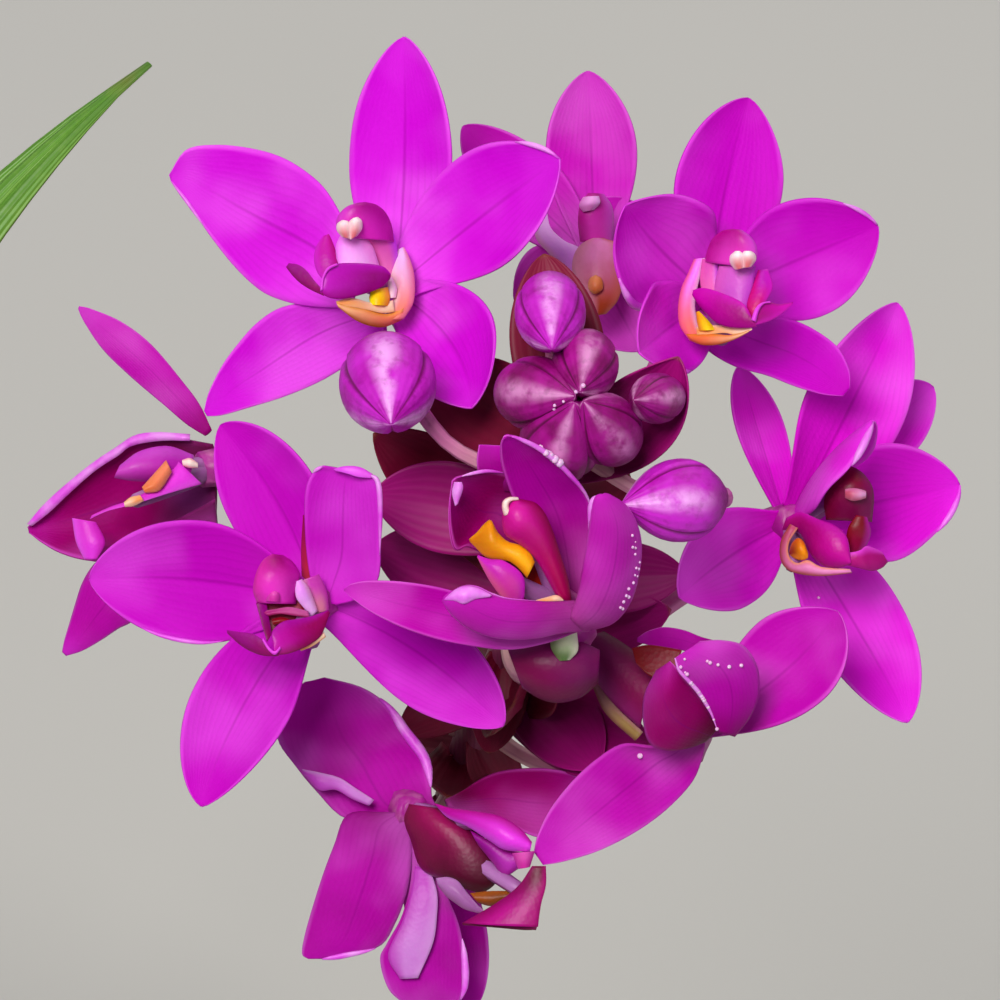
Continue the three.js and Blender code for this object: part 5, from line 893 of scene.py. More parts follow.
# Mouths: the skin of each part, how full it is towards the eye and away from it, and its two edges,
# traced in the photograph's pixels with the millimetres out
PARTS = {
    "a": dict(
        column=("hood a", 0.3, 0.2,
            [(350, 238, -1.5), (337, 228, -0.5), (338, 216, -0.2), (346, 207, -0.2), (356, 203, -0.5)],
            [(394, 242, -4.5), (392, 226, -4), (386, 213, -3), (377, 205, -2), (366, 202, -1)]),
        flank=("flank a", 0.2, 0.2,
            [(378, 288, -5), (378, 266, -4.5), (370, 246, -3.5), (363, 232, -2.6)],
            [(397, 288, -6), (398, 264, -5.6), (397, 246, -5.2), (392, 228, -4.8)]),
        chest=("chest a", 0.2, 0.0,
            [(338, 268, -1), (336, 255, -1.2), (336, 245, -1.4), (341, 234, -1.6)],
            [(380, 268, -3.2), (377, 258, -3), (373, 247, -2.7), (364, 234, -2.4)]),
        cap=("cap a", 0.4, 0.2,
            [(342, 237, 0.6), (337, 231, 0.7), (337, 224, 0.8), (342, 220, 0.7)],
            [(350, 239, 0.6), (352, 232, 0.7), (351, 225, 0.8), (348, 221, 0.7)]),
        cap_right=("cap a", 0.4, 0.2,
            [(350, 240, 0.7), (348, 231, 0.8), (349, 222, 0.9), (353, 218, 0.8)],
            [(357, 236, 0.5), (362, 229, 0.5), (362, 221, 0.6), (358, 217, 0.6)]),
        ear=("ear a", 0.15, 0.0,
            [(324, 281, -0.5), (317, 272, -1), (314, 260, -1.4), (316, 247, -1.8), (323, 236, -2)],
            [(332, 273, -0.5), (338, 264, -1), (336, 252, -1.4), (333, 243, -1.8), (329, 234, -2)]),
        lip=("wing a", 0.12, 0.0,
            [(321, 287, 2), (325, 272, 1.8), (337, 264, 1.2), (355, 263, 0.4), (372, 264, -0.4),
                (384, 267, -1), (391, 274, -1.4)],
            [(320, 293, 2), (330, 298, 1.8), (343, 299, 1.3), (357, 296, 0.6), (370, 292, -0.2),
                (382, 287, -0.9), (390, 279, -1.4)]),
        wing=("far wing", 0.1, 0.0,
            [(324, 296, 2), (311, 290, 1.5), (300, 283, 0.9), (292, 275, 0.4), (286, 267, 0)],
            [(321, 288, 2), (314, 280, 1.5), (307, 271, 0.9), (299, 265, 0.4), (289, 263, 0)]),
        # rim: a thin line of painted highlight along the lip's edge
        rim=("lip rim highlight", 0.4, 0.1,
            [(320, 291, 2.2), (322, 278, 2.2), (327, 268, 2.1), (337, 263, 1.7)],
            [(323, 290, 2.2), (324, 279, 2.2), (329, 270, 2.1), (338, 265, 1.7)]),
        humps=("callus a", 0.4, 0.1,
            [(371, 305, -1.3), (369, 298, -1.6), (371, 291, -2)],
            [(388, 306, -2.2), (390, 298, -2.5), (388, 287, -2.9)]),
        wall=("wall a", 0.3, 0.1,
            [(385, 320, -2.7), (392, 304, -3.6), (394, 290, -4.5), (391, 276, -5), (393, 262, -5.5),
                (399, 249, -6)],
            [(404, 319, -2.7), (413, 304, -3.6), (415, 289, -4.5), (414, 273, -5), (410, 259, -5.5),
                (404, 247, -6)]),
        floor=("cream", 0.1, 0.0,
            [(336, 301, 0.8), (352, 298, 0.1), (368, 302, -1), (380, 304, -1.9), (393, 300, -2.9)],
            [(337, 305, 1), (352, 307, 0.4), (368, 310, -0.5), (382, 313, -1.4), (395, 312, -2.4)]),
        claw=("chin a", 0.35, 0.2,
            [(337, 303, 1), (350, 306, 0.4), (366, 309, -0.5), (380, 313, -1.5), (392, 313, -2.4),
                (404, 306, -3)],
            [(338, 307, 1), (348, 315, 0.4), (357, 321, -0.5), (370, 326, -1.5), (385, 327, -2.5),
                (402, 320, -3.2)]),
        inner=("pink white", 0.3, 0.1,
            [(389, 298, -3), (388, 287, -3.4), (388, 279, -3.8)],
            [(396, 298, -3.4), (397, 288, -3.8), (392, 277, -4.2)]),
    ),
    "b": dict(
        column=("hood b", 0.3, 0.2,
            [(704, 262, -5), (708, 248, -4.4), (713, 238, -3.4), (722, 231, -2.4), (732, 229, -1.4)],
            [(752, 269, -1), (757, 257, -0.8), (756, 245, -0.6), (750, 236, -0.7), (742, 230, -1)]),
        flank=("flank a", 0.2, 0.2,
            [(702, 296, -5.5), (700, 278, -5.4), (702, 259, -5.2)],
            [(722, 296, -4), (718, 278, -4.2), (718, 258, -4.2)]),
        chest=("chest b", 0.2, 0.0,
            [(714, 296, -3.5), (715, 282, -3.3), (719, 266, -3)],
            [(748, 308, -1.5), (752, 290, -1.6), (756, 266, -1.6)]),
        cap=("cap a", 0.4, 0.2,
            [(735, 270, 0.2), (730, 263, 0.3), (730, 256, 0.4), (735, 251, 0.3)],
            [(744, 268, 0.4), (745, 261, 0.5), (744, 255, 0.6), (740, 251, 0.5)]),
        cap_right=("cap a", 0.4, 0.2,
            [(743, 268, 0.5), (741, 260, 0.6), (741, 255, 0.7), (744, 251, 0.6)],
            [(751, 267, 0.4), (756, 260, 0.4), (755, 254, 0.5), (751, 251, 0.5)]),
        ear=("ear b", 0.15, 0.0,
            [(750, 319, -0.5), (747, 304, -1), (752, 288, -1.5), (758, 270, -2)],
            [(757, 313, -0.5), (767, 300, -1), (773, 286, -1.5), (768, 269, -2)]),
        lip=("wing b", 0.12, 0.0,
            [(757, 327, 1.5), (742, 328, 1.2), (728, 327, 0.6), (715, 322, -0.2), (705, 312, -1),
                (697, 303, -1.6), (692, 295, -2)],
            [(752, 318, 1.5), (745, 305, 1.3), (734, 298, 0.7), (722, 293, 0), (710, 289, -0.8),
                (701, 288, -1.4), (693, 290, -2)]),
        wing=("wing b", 0.1, 0.0,
            [(752, 318, 1.5), (759, 306, 1.1), (768, 302, 0.6), (779, 304, 0.1), (793, 302, -0.4)],
            [(755, 325, 1.5), (764, 323, 1.1), (774, 319, 0.6), (784, 312, 0.1), (793, 304, -0.4)]),
        # rim: a thin line of painted highlight along the lip's edge
        rim=("lip rim highlight", 0.4, 0.1,
            [(751, 320, 1.8), (755, 309, 1.6), (761, 303, 1.3), (770, 301, 0.9)],
            [(756, 322, 1.8), (759, 311, 1.6), (764, 304, 1.3), (771, 303, 0.9)]),
        humps=("callus b", 0.4, 0.1,
            [(699, 331, -1.8), (697, 322, -2.2), (696, 312, -2.6)],
            [(716, 330, -1.2), (708, 320, -1.8), (699, 311, -2.4)]),
        wall=("wall b", 0.3, 0.1,
            [(690, 341, -3), (680, 326, -4), (678, 308, -5), (681, 289, -5.6), (688, 273, -6),
                (694, 259, -6.2)],
            [(704, 338, -3), (698, 322, -4), (695, 306, -5), (697, 290, -5.5), (701, 274, -5.8),
                (705, 258, -6)]),
        floor=("cream", 0.1, 0.0,
            [(696, 327, -2.3), (712, 325, -1.6), (725, 326, -0.8), (738, 328, 0.1), (752, 328, 0.9)],
            [(697, 335, -1.9), (712, 334, -1.1), (725, 333, -0.3), (738, 335, 0.5), (752, 330, 1.1)]),
        claw=("chin b", 0.35, 0.2,
            [(686, 334, -2.6), (702, 334, -1.7), (716, 334, -0.9), (728, 335, -0.1), (740, 333, 0.6),
                (749, 330, 1)],
            [(691, 341, -2.6), (702, 345, -1.8), (716, 345, -1), (728, 342, -0.2), (738, 338, 0.5),
                (749, 332, 1)]),
    ),
    "c": dict(
        column=("hood c", 0.3, 0.2,
            [(257, 603, 6), (253, 590, 6.8), (256, 573, 7), (263, 560, 6.4), (272, 554, 5.6)],
            [(296, 604, 5), (297, 588, 5.6), (300, 574, 5.4), (293, 562, 5), (283, 555, 4.8)]),
        cap=("pink cap", 0.4, 0.2,
            [(266, 601, 7), (268, 594, 7.2), (272, 590, 7.2)],
            [(280, 602, 7), (280, 595, 7.2), (277, 590, 7.2)]),
        # chest: a dark sheet of painted shade in the throat behind the column
        chest=("shaded throat c", 0.0, 0.1,
            [(269, 634, 5.2), (265, 618, 5), (262, 600, 4.8)],
            [(290, 624, 5.2), (304, 614, 4.8), (302, 600, 4.4)]),
        ear=("far wing", 0.1, 0.0,
            [(267, 642, 7), (262, 625, 6.8), (256, 603, 6.2)],
            [(272, 634, 6.6), (269, 618, 6.2), (266, 600, 5.8)]),
        flap=("violet white", 0.3, 0.1,
            [(312, 616, 4.9), (303, 607, 5.4), (296, 597, 5.8), (295, 582, 5.8)],
            [(318, 611, 4.6), (314, 600, 5), (309, 588, 5.4), (302, 579, 5.6)]),
        wall=("wall c", 0.2, 0.1,
            [(314, 614, 3.9), (308, 597, 4.2), (303, 580, 4.4)],
            [(329, 610, 3.4), (327, 592, 3.8), (319, 574, 4.2)]),
        floor=("ledge c", 0.3, 0.1,
            [(262, 611, 6), (275, 609, 6.2), (290, 607, 6), (308, 611, 5.4)],
            [(268, 616, 6.4), (280, 614, 6.5), (295, 616, 6.2), (310, 618, 5.6)]),
        humps=("callus c", 0.35, 0.1,
            [(272, 619, 5.9), (281, 617, 5.9), (290, 619, 5.8)],
            [(273, 625, 6), (281, 624, 6), (289, 623, 5.9)]),
        lip=("wing c", 0.12, 0.0,
            [(273, 645, 9), (272, 632, 8.8), (282, 622, 8), (296, 619, 7), (312, 616, 6),
                (328, 610, 5)],
            [(275, 655, 9), (287, 654, 8.6), (299, 650, 8), (311, 644, 7), (322, 634, 6),
                (330, 613, 5)]),
        wing=("far wing", 0.1, 0.0,
            [(280, 656, 9), (265, 656, 8.6), (252, 652, 8), (240, 645, 7.4), (227, 633, 6.6)],
            [(272, 650, 9), (264, 641, 8.6), (253, 634, 8), (240, 632, 7.4), (227, 630, 6.6)]),
        # rim: a thin line of painted highlight along the lip's edge
        rim=("lip rim highlight", 0.4, 0.1,
            [(263, 638, 8.9), (270, 648, 9.2), (275, 651, 9.3), (280, 646, 9.2)],
            [(262, 640, 8.9), (268, 650, 9.2), (275, 655, 9.3), (281, 649, 9.2)]),
        turn=("fold", 0.12, 0.0,
            [(333, 469, 5.2), (345, 466, 5.6), (360, 467, 5.7), (373, 474, 5.5)],
            [(336, 471, 5.3), (345, 473, 5.7), (358, 477, 5.8), (371, 478, 5.6)]),
        shade=("shade", 0.0, 0.1,
            [(302, 582, 2.2), (301, 550, 1), (303, 515, -1)],
            [(314, 582, 2.6), (314, 550, 2), (308, 515, 0)]),
        claw=("cream", 0.3, 0.1,
            [(299, 648, 7.2), (311, 641, 6.5), (324, 632, 5.5)],
            [(301, 651, 7.2), (313, 646, 6.5), (326, 637, 5.5)]),
    ),
    "f": dict(
        column=("hood b", 0.3, 0.2,
            [(580, 242, -22), (578, 222, -21), (580, 205, -21), (588, 193, -22)],
            [(612, 242, -23), (614, 222, -22.5), (612, 206, -22.5), (604, 194, -23)]),
        cap=("rosy white", 0.4, 0.2,
            [(583, 212, -20.2), (579, 205, -20), (583, 197, -20.2)],
            [(594, 210, -20.2), (600, 203, -20), (599, 196, -20.2)]),
        ear=("violet white", 0.2, 0.1,
            [(547, 212, -25), (551, 228, -24), (565, 241, -23), (580, 248, -22), (590, 262, -21)],
            [(533, 216, -25), (536, 238, -24.5), (550, 255, -23.5), (562, 272, -22.5),
                (580, 290, -21.5)]),
        lip=("body f", 0.25, 0.1,
            [(594, 316, -20.5), (590, 302, -20), (584, 288, -20), (573, 275, -20.5), (573, 258, -21),
                (580, 245, -21.3), (592, 238, -21.3)],
            [(606, 314, -20.5), (617, 302, -20.3), (622, 288, -20.5), (627, 270, -21),
                (628, 256, -21.5), (620, 244, -21.7), (603, 238, -21.5)]),
        humps=("callus f", 0.35, 0.1,
            [(594, 294, -18.7), (589, 290, -18.6), (588, 284, -18.6), (590, 278, -18.7),
                (595, 275, -18.8)],
            [(596, 294, -18.7), (602, 290, -18.6), (603, 284, -18.6), (601, 278, -18.7),
                (596, 275, -18.8)]),
    ),
    "i": dict(
        humps=("callus e", 0.35, 0.2,
            [(684, 728, 0.6), (684, 718, 0.8), (690, 708, 1)],
            [(694, 728, 0.6), (698, 718, 0.8), (696, 708, 1)]),
        cap=("rosy cap", 0.4, 0.2,
            [(694, 702, 2), (692, 696, 2.2), (694, 690, 2.4)],
            [(702, 702, 2), (704, 696, 2.2), (700, 690, 2.4)]),
        # throat: a dark sheet of painted shade inside the mouth
        throat=("shaded mouth", 0.0, 0.1,
            [(632, 648, -1), (650, 645, -0.5), (682, 650, 0.4)],
            [(636, 663, 0), (650, 676, 0.6), (672, 682, 1)]),
        flap=("tube", 0.2, 0.1,
            [(640, 728, -3), (612, 702, -4), (592, 674, -5), (578, 640, -6)],
            [(654, 668, -3), (640, 655, -4), (622, 642, -5), (604, 631, -6)]),
        curl=("stalk", 0.3, 0.2,
            [(600, 680, -6), (616, 706, -4), (643, 732, -2)],
            [(592, 686, -6), (606, 714, -4), (635, 741, -2)]),
        column=("hood e", 0.3, 0.2,
            [(704, 730, 0.5), (696, 714, 1), (692, 700, 1.6), (693, 690, 2)],
            [(716, 728, 0), (714, 712, 0.4), (710, 698, 1), (702, 688, 1.6)]),
    ),
    "d": dict(
        column=("hood d", 0.35, 0.2,
            [(557, 598, 13), (546, 577, 14), (534, 557, 14.8), (519, 544, 15.4), (506, 536, 15.8),
                (502, 524, 16), (503, 512, 16), (509, 501, 15.8)],
            [(572, 602, 13), (568, 578, 13.6), (560, 553, 14.2), (553, 531, 14.8), (545, 513, 15.2),
                (536, 503, 15.5), (526, 500, 15.7), (516, 498, 15.8)]),
        cap=("cap", 0.4, 0.2,
            [(504, 516, 16.3), (502, 508, 16.6), (503, 501, 16.7), (509, 497, 16.6), (518, 497, 16.2)],
            [(512, 513, 16.3), (509, 508, 16.6), (509, 504, 16.7), (512, 501, 16.6), (519, 500, 16.2)]),
        humps=("callus d", 0.3, 0.2,
            [(469, 539, 14.4), (477, 532, 14.5), (484, 524, 14.6), (491, 520, 14.8), (497, 531, 14.9),
                (507, 541, 15), (520, 545, 15), (530, 553, 14.9), (535, 562, 14.7)],
            [(470, 542, 14.4), (476, 548, 14.4), (484, 556, 14.5), (492, 559, 14.7), (500, 560, 14.8),
                (508, 561, 15), (516, 566, 15), (522, 572, 14.9), (527, 578, 14.7)]),
        lip=("lobe d", 0.25, 0.1,
            [(478, 555, 14.9), (490, 559, 15.3), (502, 560, 15.6), (513, 566, 15.6), (521, 573, 15.4),
                (525, 583, 15.2), (524, 602, 14.8)],
            [(477, 557, 14.9), (480, 563, 15.2), (484, 571, 15.4), (489, 580, 15.4), (495, 589, 15.3),
                (501, 597, 15.1), (505, 603, 14.8)]),
        # throat: painted shade in the lip's opening below the column, with the lip's orange at its foot
        throat=("shaded throat d", 0.0, 0.1,
            [(522, 605, 10), (524, 585, 10.5), (528, 570, 11), (536, 560, 11.5)],
            [(564, 605, 10), (560, 592, 10.5), (555, 580, 11), (548, 566, 11.5)]),
        seam=("cream", 0.4, 0.1,
            [(536, 600, 13), (547, 597, 13.4), (556, 595, 13.6), (563, 598, 13.4)],
            [(537, 603, 13), (547, 604, 13.2), (556, 604, 13.3), (564, 603, 13.2)]),
        sheet=("tube", 0.3, 0.3,
            [(508, 650, 5.6), (530, 640, 6.2), (556, 638, 6.4), (582, 642, 6), (600, 650, 5)],
            [(522, 688, 4.6), (540, 699, 5), (558, 703, 5), (580, 698, 4.8), (598, 684, 4.4)]),
        stub=("green white", 0.3, 0.2,
            [(559, 661, 7.6), (551, 648, 7.8), (551, 634, 8)],
            [(570, 660, 7.6), (578, 650, 7.8), (577, 632, 8)]),
        curl=("pale", 0.3, 0.1,
            [(455, 506, 14.1), (452, 493, 14.4), (454, 482, 14.6)],
            [(458, 504, 14.1), (463, 489, 14.6), (462, 482, 14.8)]),
        fold=("pale", 0.3, 0.1,
            [(446, 597, 18.9), (456, 589, 19.1), (466, 586, 19.2), (478, 588, 19.1), (492, 595, 18.8)],
            [(444, 600, 18.9), (455, 601, 19.2), (464, 604, 19.3), (476, 599, 19.2), (490, 597, 18.8)]),
    ),
    "e": dict(
        column=("hood e", 0.3, 0.2,
            [(826, 520, -10), (824, 500, -9), (832, 482, -8.5), (842, 470, -9), (850, 466, -9.5)],
            [(872, 522, -10), (874, 500, -9), (872, 486, -8.5), (864, 474, -9), (856, 468, -9.5)]),
        cap=("rosy cap", 0.4, 0.2,
            [(845, 489, -7), (852, 488, -6.7), (860, 489, -6.7), (866, 491, -7)],
            [(845, 498, -7), (852, 501, -6.7), (860, 500, -6.7), (866, 498, -7)]),
        ear=("ear e", 0.2, 0.0,
            [(850, 562, -8), (846, 545, -7.5), (848, 528, -7), (856, 515, -7)],
            [(856, 556, -8), (866, 546, -7.8), (871, 532, -7.5), (867, 517, -7.2)]),
        lip=("lobe e", 0.22, 0.0,
            [(786, 518, -9), (800, 512, -8), (818, 519, -6.5), (830, 523, -5.8), (841, 530, -5.3),
                (848, 540, -5), (851, 560, -5)],
            [(782, 530, -9.5), (798, 532, -9), (806, 544, -8), (812, 556, -7), (824, 566, -6),
                (838, 568, -5.5), (851, 564, -5)]),
        wing=("wing e", 0.1, 0.0,
            [(838, 554, -5.1), (858, 551, -5.2), (866, 546, -5.8), (874, 548, -6.4), (882, 552, -7)],
            [(838, 563, -5.1), (862, 569, -5.4), (872, 571, -6), (882, 568, -6.6), (888, 562, -7.2)]),
        humps=("callus e", 0.35, 0.2,
            [(789, 552, -7.5), (792, 543, -7), (798, 538, -6.6), (804, 542, -6.4), (808, 552, -6.4)],
            [(790, 555, -7.5), (794, 558, -7), (799, 560, -6.6), (804, 560, -6.4), (808, 558, -6.4)]),
        claw=("chin e", 0.25, 0.0,
            [(798, 528, -8), (789, 543, -7.6), (789, 556, -7.2), (797, 563, -6.8), (808, 560, -6.5),
                (822, 567, -6), (850, 569, -5.5)],
            [(790, 524, -8), (781, 540, -8), (780, 558, -7.5), (788, 570, -7), (805, 575, -6.5),
                (825, 576, -6), (852, 573, -5.5)]),
    ),
    "g": dict(
        column=("hood g", 0.35, 0.2,
            [(190, 480, -18), (160, 482, -17), (132, 481, -16.5), (114, 478, -16.5)],
            [(194, 455, -19), (168, 446, -18), (140, 451, -17), (120, 465, -16.5)]),
        lip=("lobe g", 0.2, 0.1,
            [(202, 484, -17), (170, 493, -15.5), (135, 504, -14), (108, 511, -13.5), (90, 519, -13.5)],
            [(174, 457, -17.5), (162, 480, -16), (135, 498, -14.5), (112, 506, -13.8),
                (92, 515, -13.5)]),
        humps=("callus g", 0.4, 0.2,
            [(172, 472, -15.4), (160, 490, -14.6), (145, 493, -14.2)],
            [(166, 460, -15.8), (150, 478, -14.7), (142, 487, -14.3)]),
        cap=("cap", 0.4, 0.2,
            [(182, 460, -16.8), (190, 458, -16.6), (198, 463, -16.8)],
            [(183, 466, -16.8), (190, 468, -16.6), (198, 468, -16.8)]),
        curl=("cream", 0.4, 0.1,
            [(144, 501, -13.8), (134, 506, -13.6), (125, 507, -13.5)],
            [(140, 495, -13.8), (131, 497, -13.6), (124, 502, -13.5)]),
        rim=("pale", 0.35, 0.1,
            [(190, 441, -24.5), (160, 441, -26), (132, 446, -27), (118, 456, -27.5), (95, 471, -28.5),
                (70, 493, -29.5), (50, 512, -30.3), (32, 526, -31)],
            [(190, 434, -24.8), (158, 432, -26), (135, 435, -27), (116, 447, -27.6), (92, 463, -28.6),
                (66, 484, -29.6), (44, 504, -30.4), (27, 524, -31)]),
        flap=("lobe g", 0.2, 0.0,
            [(84, 559, -24), (76, 542, -24), (72, 518, -24.5)],
            [(97, 559, -23.5), (105, 542, -23.5), (96, 522, -24)]),
    ),
    "h": dict(
        column=("hood h", 0.4, 0.2,
            [(434, 803, -8), (452, 808, -6.5), (475, 811, -5), (500, 816, -3.8), (520, 828, -3.2),
                (532, 842, -3)],
            [(436, 806, -8), (448, 818, -6.5), (468, 827, -5), (488, 840, -3.8), (505, 850, -3.2),
                (530, 852, -3)]),
        belly=("belly h", 0.25, 0.1,
            [(470, 830, -6), (490, 841, -5), (508, 850, -4.5), (520, 852, -4)],
            [(478, 845, -6), (492, 862, -5.5), (504, 876, -5), (520, 868, -4.4)]),
        cap=("pink cap", 0.4, 0.2,
            [(518, 869, -3.6), (512, 853, -3.6)],
            [(530, 867, -3.4), (535, 851, -3.2)]),
        # throat: painted shade between the lip's side lobes and under the column
        throat=("shaded throat h", 0.2, 0.0,
            [(440, 880, -9.5), (420, 867, -9.8), (411, 841, -9.8), (404, 820, -9.6), (409, 804, -9.4)],
            [(482, 894, -7), (496, 882, -6.5), (496, 858, -6.7), (478, 831, -7.4), (440, 808, -8.4)]),
        # Painted highlights: a pale sheen down a lower petal and along the turned fold
        patch=("painted_highlight", 0.06, 0.0,
            [(429, 866, -10.4), (437, 892, -9.6), (437, 915, -9.4), (433, 943, -9.4), (418, 978, -9.6)],
            [(415, 866, -10.6), (411, 893, -9.8), (402, 922, -9.6), (388, 955, -9.6),
                (400, 979, -9.8)]),
        turn=("painted_highlight", 0.2, 0.0,
            [(302, 769, -13), (322, 773, -12.6), (340, 778, -12.6), (357, 789, -12.6),
                (374, 800, -12.8)],
            [(304, 775, -13), (319, 790, -12.6), (336, 790, -12.6), (352, 799, -12.6),
                (369, 806, -12.8)]),
        fold=("lilac", 0.3, 0.1,
            [(436, 878, -5.5), (448, 877, -5.2), (458, 881, -5), (466, 891, -4.8), (476, 903, -4.6),
                (485, 912, -4.5)],
            [(438, 886, -5.5), (446, 896, -5.2), (455, 903, -5), (464, 909, -4.8), (474, 912, -4.6),
                (483, 914, -4.5)]),
        humps=("callus h", 0.35, 0.1,
            [(470, 893, -5.2), (490, 891, -5), (513, 891, -4.8)],
            [(478, 903, -5.2), (492, 906, -5), (508, 900, -4.8)]),
        lip=("lobe h", 0.12, 0.0,
            [(546, 866, -3), (546, 885, -2.6), (541, 905, -2.2), (538, 927, -2)],
            [(532, 866, -3), (518, 886, -3.2), (496, 903, -3.5), (462, 923, -4)]),
        rim=("dark rim", 0.2, 0.1,
            [(462, 923, -3.9), (500, 921, -3.1), (525, 922, -2.5), (537, 927, -2.1)],
            [(463, 925, -3.9), (500, 928, -3.1), (522, 930, -2.6), (536, 930, -2.2)]),
    ),
}
# Skins of those parts: colours at the foot, at the tip, and at the first and the second edge
TINTS = {
    "hood a": ((228, 40, 198), (160, 0, 128), (216, 60, 206), (172, 0, 138)),
    "hood b": ((230, 60, 198), (172, 0, 132), (182, 0, 136), (214, 66, 208)),
    "hood c": ((240, 50, 206), (160, 0, 112), (208, 36, 160), (188, 0, 156)),
    "flank a": ((240, 116, 196), (226, 84, 190), (234, 100, 180), (200, 66, 232)),
    "chest a": ((250, 176, 252), (240, 136, 236), (236, 112, 240), (246, 140, 226)),
    "chest b": ((206, 84, 206), (214, 96, 208), (224, 96, 200), (190, 52, 200)),
    "cap a": ((232, 120, 128), (255, 240, 246), (252, 216, 226), (250, 214, 226)),
    "ear a": ((188, 10, 166), (190, 0, 160), (204, 34, 196), (168, 0, 116)),
    "ear b": ((208, 0, 112), (184, 0, 176), (200, 0, 120), (200, 16, 184)),
    "wing a": ((190, 6, 184), (142, 0, 112), (176, 0, 172), (152, 0, 122)),
    "wing b": ((160, 0, 120), (204, 0, 174), (162, 0, 132), (204, 6, 180)),
    "wing c": ((190, 0, 164), (150, 0, 86), (164, 0, 152), (134, 0, 74)),
    "far wing": ((140, 0, 96), (142, 0, 124), (120, 0, 84), (150, 0, 134)),
    # Painted highlight: a thin bright line along the lips' edges
    "lip rim highlight": ((228, 66, 228), (220, 56, 216), (232, 76, 232), (216, 50, 206)),
    "callus a": ((255, 196, 0), (252, 200, 0), (250, 236, 0), (255, 156, 0)),
    "callus b": ((255, 206, 20), (250, 160, 10), (236, 128, 10), (255, 214, 0)),
    "wall a": ((246, 128, 116), (228, 178, 236), (250, 204, 220), (228, 116, 156)),
    "wall b": ((242, 112, 108), (246, 124, 248), (230, 84, 130), (253, 196, 238)),
    "wall c": ((216, 120, 156), (196, 30, 178), (224, 140, 186), (190, 40, 170)),
    "chin a": ((252, 180, 128), (240, 124, 84), (228, 140, 30), (204, 90, 14)),
    "chin b": ((236, 112, 62), (252, 184, 140), (226, 122, 12), (196, 78, 10)),
    "pink white": ((252, 208, 228), (250, 190, 222), (252, 200, 214), (240, 180, 230)),
    "violet white": ((240, 176, 248), (230, 140, 242), (240, 170, 250), (224, 150, 196)),
    "rosy white": ((240, 140, 222), (244, 166, 236), (240, 130, 220), (244, 170, 246)),
    # Painted shade: the dark throat behind c's column
    "shaded throat c": ((124, 0, 16), (150, 0, 70), (140, 0, 60), (130, 0, 36)),
    "ledge c": ((170, 30, 120), (196, 84, 150), (206, 90, 160), (166, 16, 90)),
    "body f": ((168, 62, 28), (222, 126, 190), (226, 142, 172), (198, 92, 82)),
    # hood d: its dark red foot and second edge are painted shade where the column meets the dark of the
    # mouth
    "hood d": ((172, 0, 84), (210, 16, 158), (190, 0, 128), (150, 0, 72)),
    "lobe d": ((200, 24, 190), (200, 50, 152), (206, 22, 196), (216, 84, 140)),
    "callus d": ((206, 116, 0), (255, 178, 16), (246, 150, 8), (232, 134, 6)),
    # Painted shade: the dark red opening of d's lip, with the lip's orange at its foot
    "shaded throat d": ((190, 40, 8), (150, 0, 12), (112, 0, 12), (140, 0, 20)),
    "hood e": ((116, 0, 66), (126, 0, 30), (120, 0, 44), (130, 0, 92)),
    "ear e": ((150, 0, 70), (118, 0, 22), (126, 0, 18), (176, 28, 156)),
    "lobe e": ((164, 0, 112), (202, 0, 156), (188, 0, 160), (150, 0, 110)),
    "wing e": ((176, 0, 120), (164, 0, 112), (220, 56, 206), (150, 0, 110)),
    "callus c": ((130, 0, 20), (150, 10, 24), (140, 0, 30), (120, 0, 16)),
    "callus e": ((156, 34, 8), (250, 150, 8), (210, 90, 8), (250, 150, 30)),
    # chin e: its second edge is painted shadow along the chin's underside; the rest is its own peach and
    # pink
    "chin e": ((190, 70, 116), (228, 130, 190), (246, 160, 120), (160, 66, 32)),
    "hood g": ((176, 20, 170), (200, 64, 190), (150, 10, 130), (206, 60, 206)),
    "lobe g": ((228, 56, 224), (214, 48, 200), (234, 84, 234), (200, 20, 180)),
    "callus f": ((200, 100, 50), (224, 140, 90), (222, 136, 96), (206, 104, 50)),
    "callus g": ((240, 134, 96), (226, 120, 60), (240, 140, 110), (236, 130, 90)),
    "hood h": ((182, 0, 152), (232, 56, 228), (190, 0, 146), (210, 76, 222)),
    "belly h": ((146, 0, 140), (182, 44, 176), (150, 0, 130), (170, 30, 150)),
    # Painted shade: the dark throat of h
    "shaded throat h": ((70, 4, 30), (150, 0, 84), (120, 12, 62), (64, 0, 20)),
    # Painted highlight: the pale sheen on h's lower petal and turned fold
    "painted_highlight": ((190, 60, 190), (200, 126, 208), (206, 140, 212), (180, 50, 176)),
    "fold": ((226, 76, 236), (236, 92, 240), (215, 60, 220), (226, 84, 236)),
    "shade": ((176, 20, 60), (140, 0, 76), (150, 0, 70), (170, 10, 66)),
    "tube": ((124, 0, 74), (112, 10, 84), (134, 24, 104), (90, 0, 50)),
    "stalk": ((150, 104, 110), (140, 110, 60), (170, 120, 120), (120, 70, 60)),
    "callus h": ((146, 70, 12), (120, 60, 24), (160, 84, 20), (110, 50, 20)),
    "lobe h": ((104, 0, 52), (186, 0, 138), (168, 0, 112), (140, 0, 92)),
    "dark rim": ((96, 0, 56), (110, 0, 70), (90, 0, 50), (84, 0, 46)),
    "pink cap": ((206, 40, 160), (226, 84, 186), (214, 60, 176), (200, 40, 160)),
    # Painted shade: the dark mouth of i
    "shaded mouth": ((112, 0, 8), (124, 0, 36), (118, 0, 20), (108, 0, 12)),
    "green white": ((96, 124, 70), (206, 214, 176), (120, 140, 84), (226, 226, 200)),
    "rosy cap": ((196, 84, 112), (224, 152, 204), (214, 120, 170), (200, 100, 130)),
    "cream": ((250, 160, 90), (252, 206, 178), (250, 196, 170), (244, 170, 120)),
    "lilac": ((170, 104, 172), (150, 84, 150), (186, 124, 190), (150, 80, 140)),
}

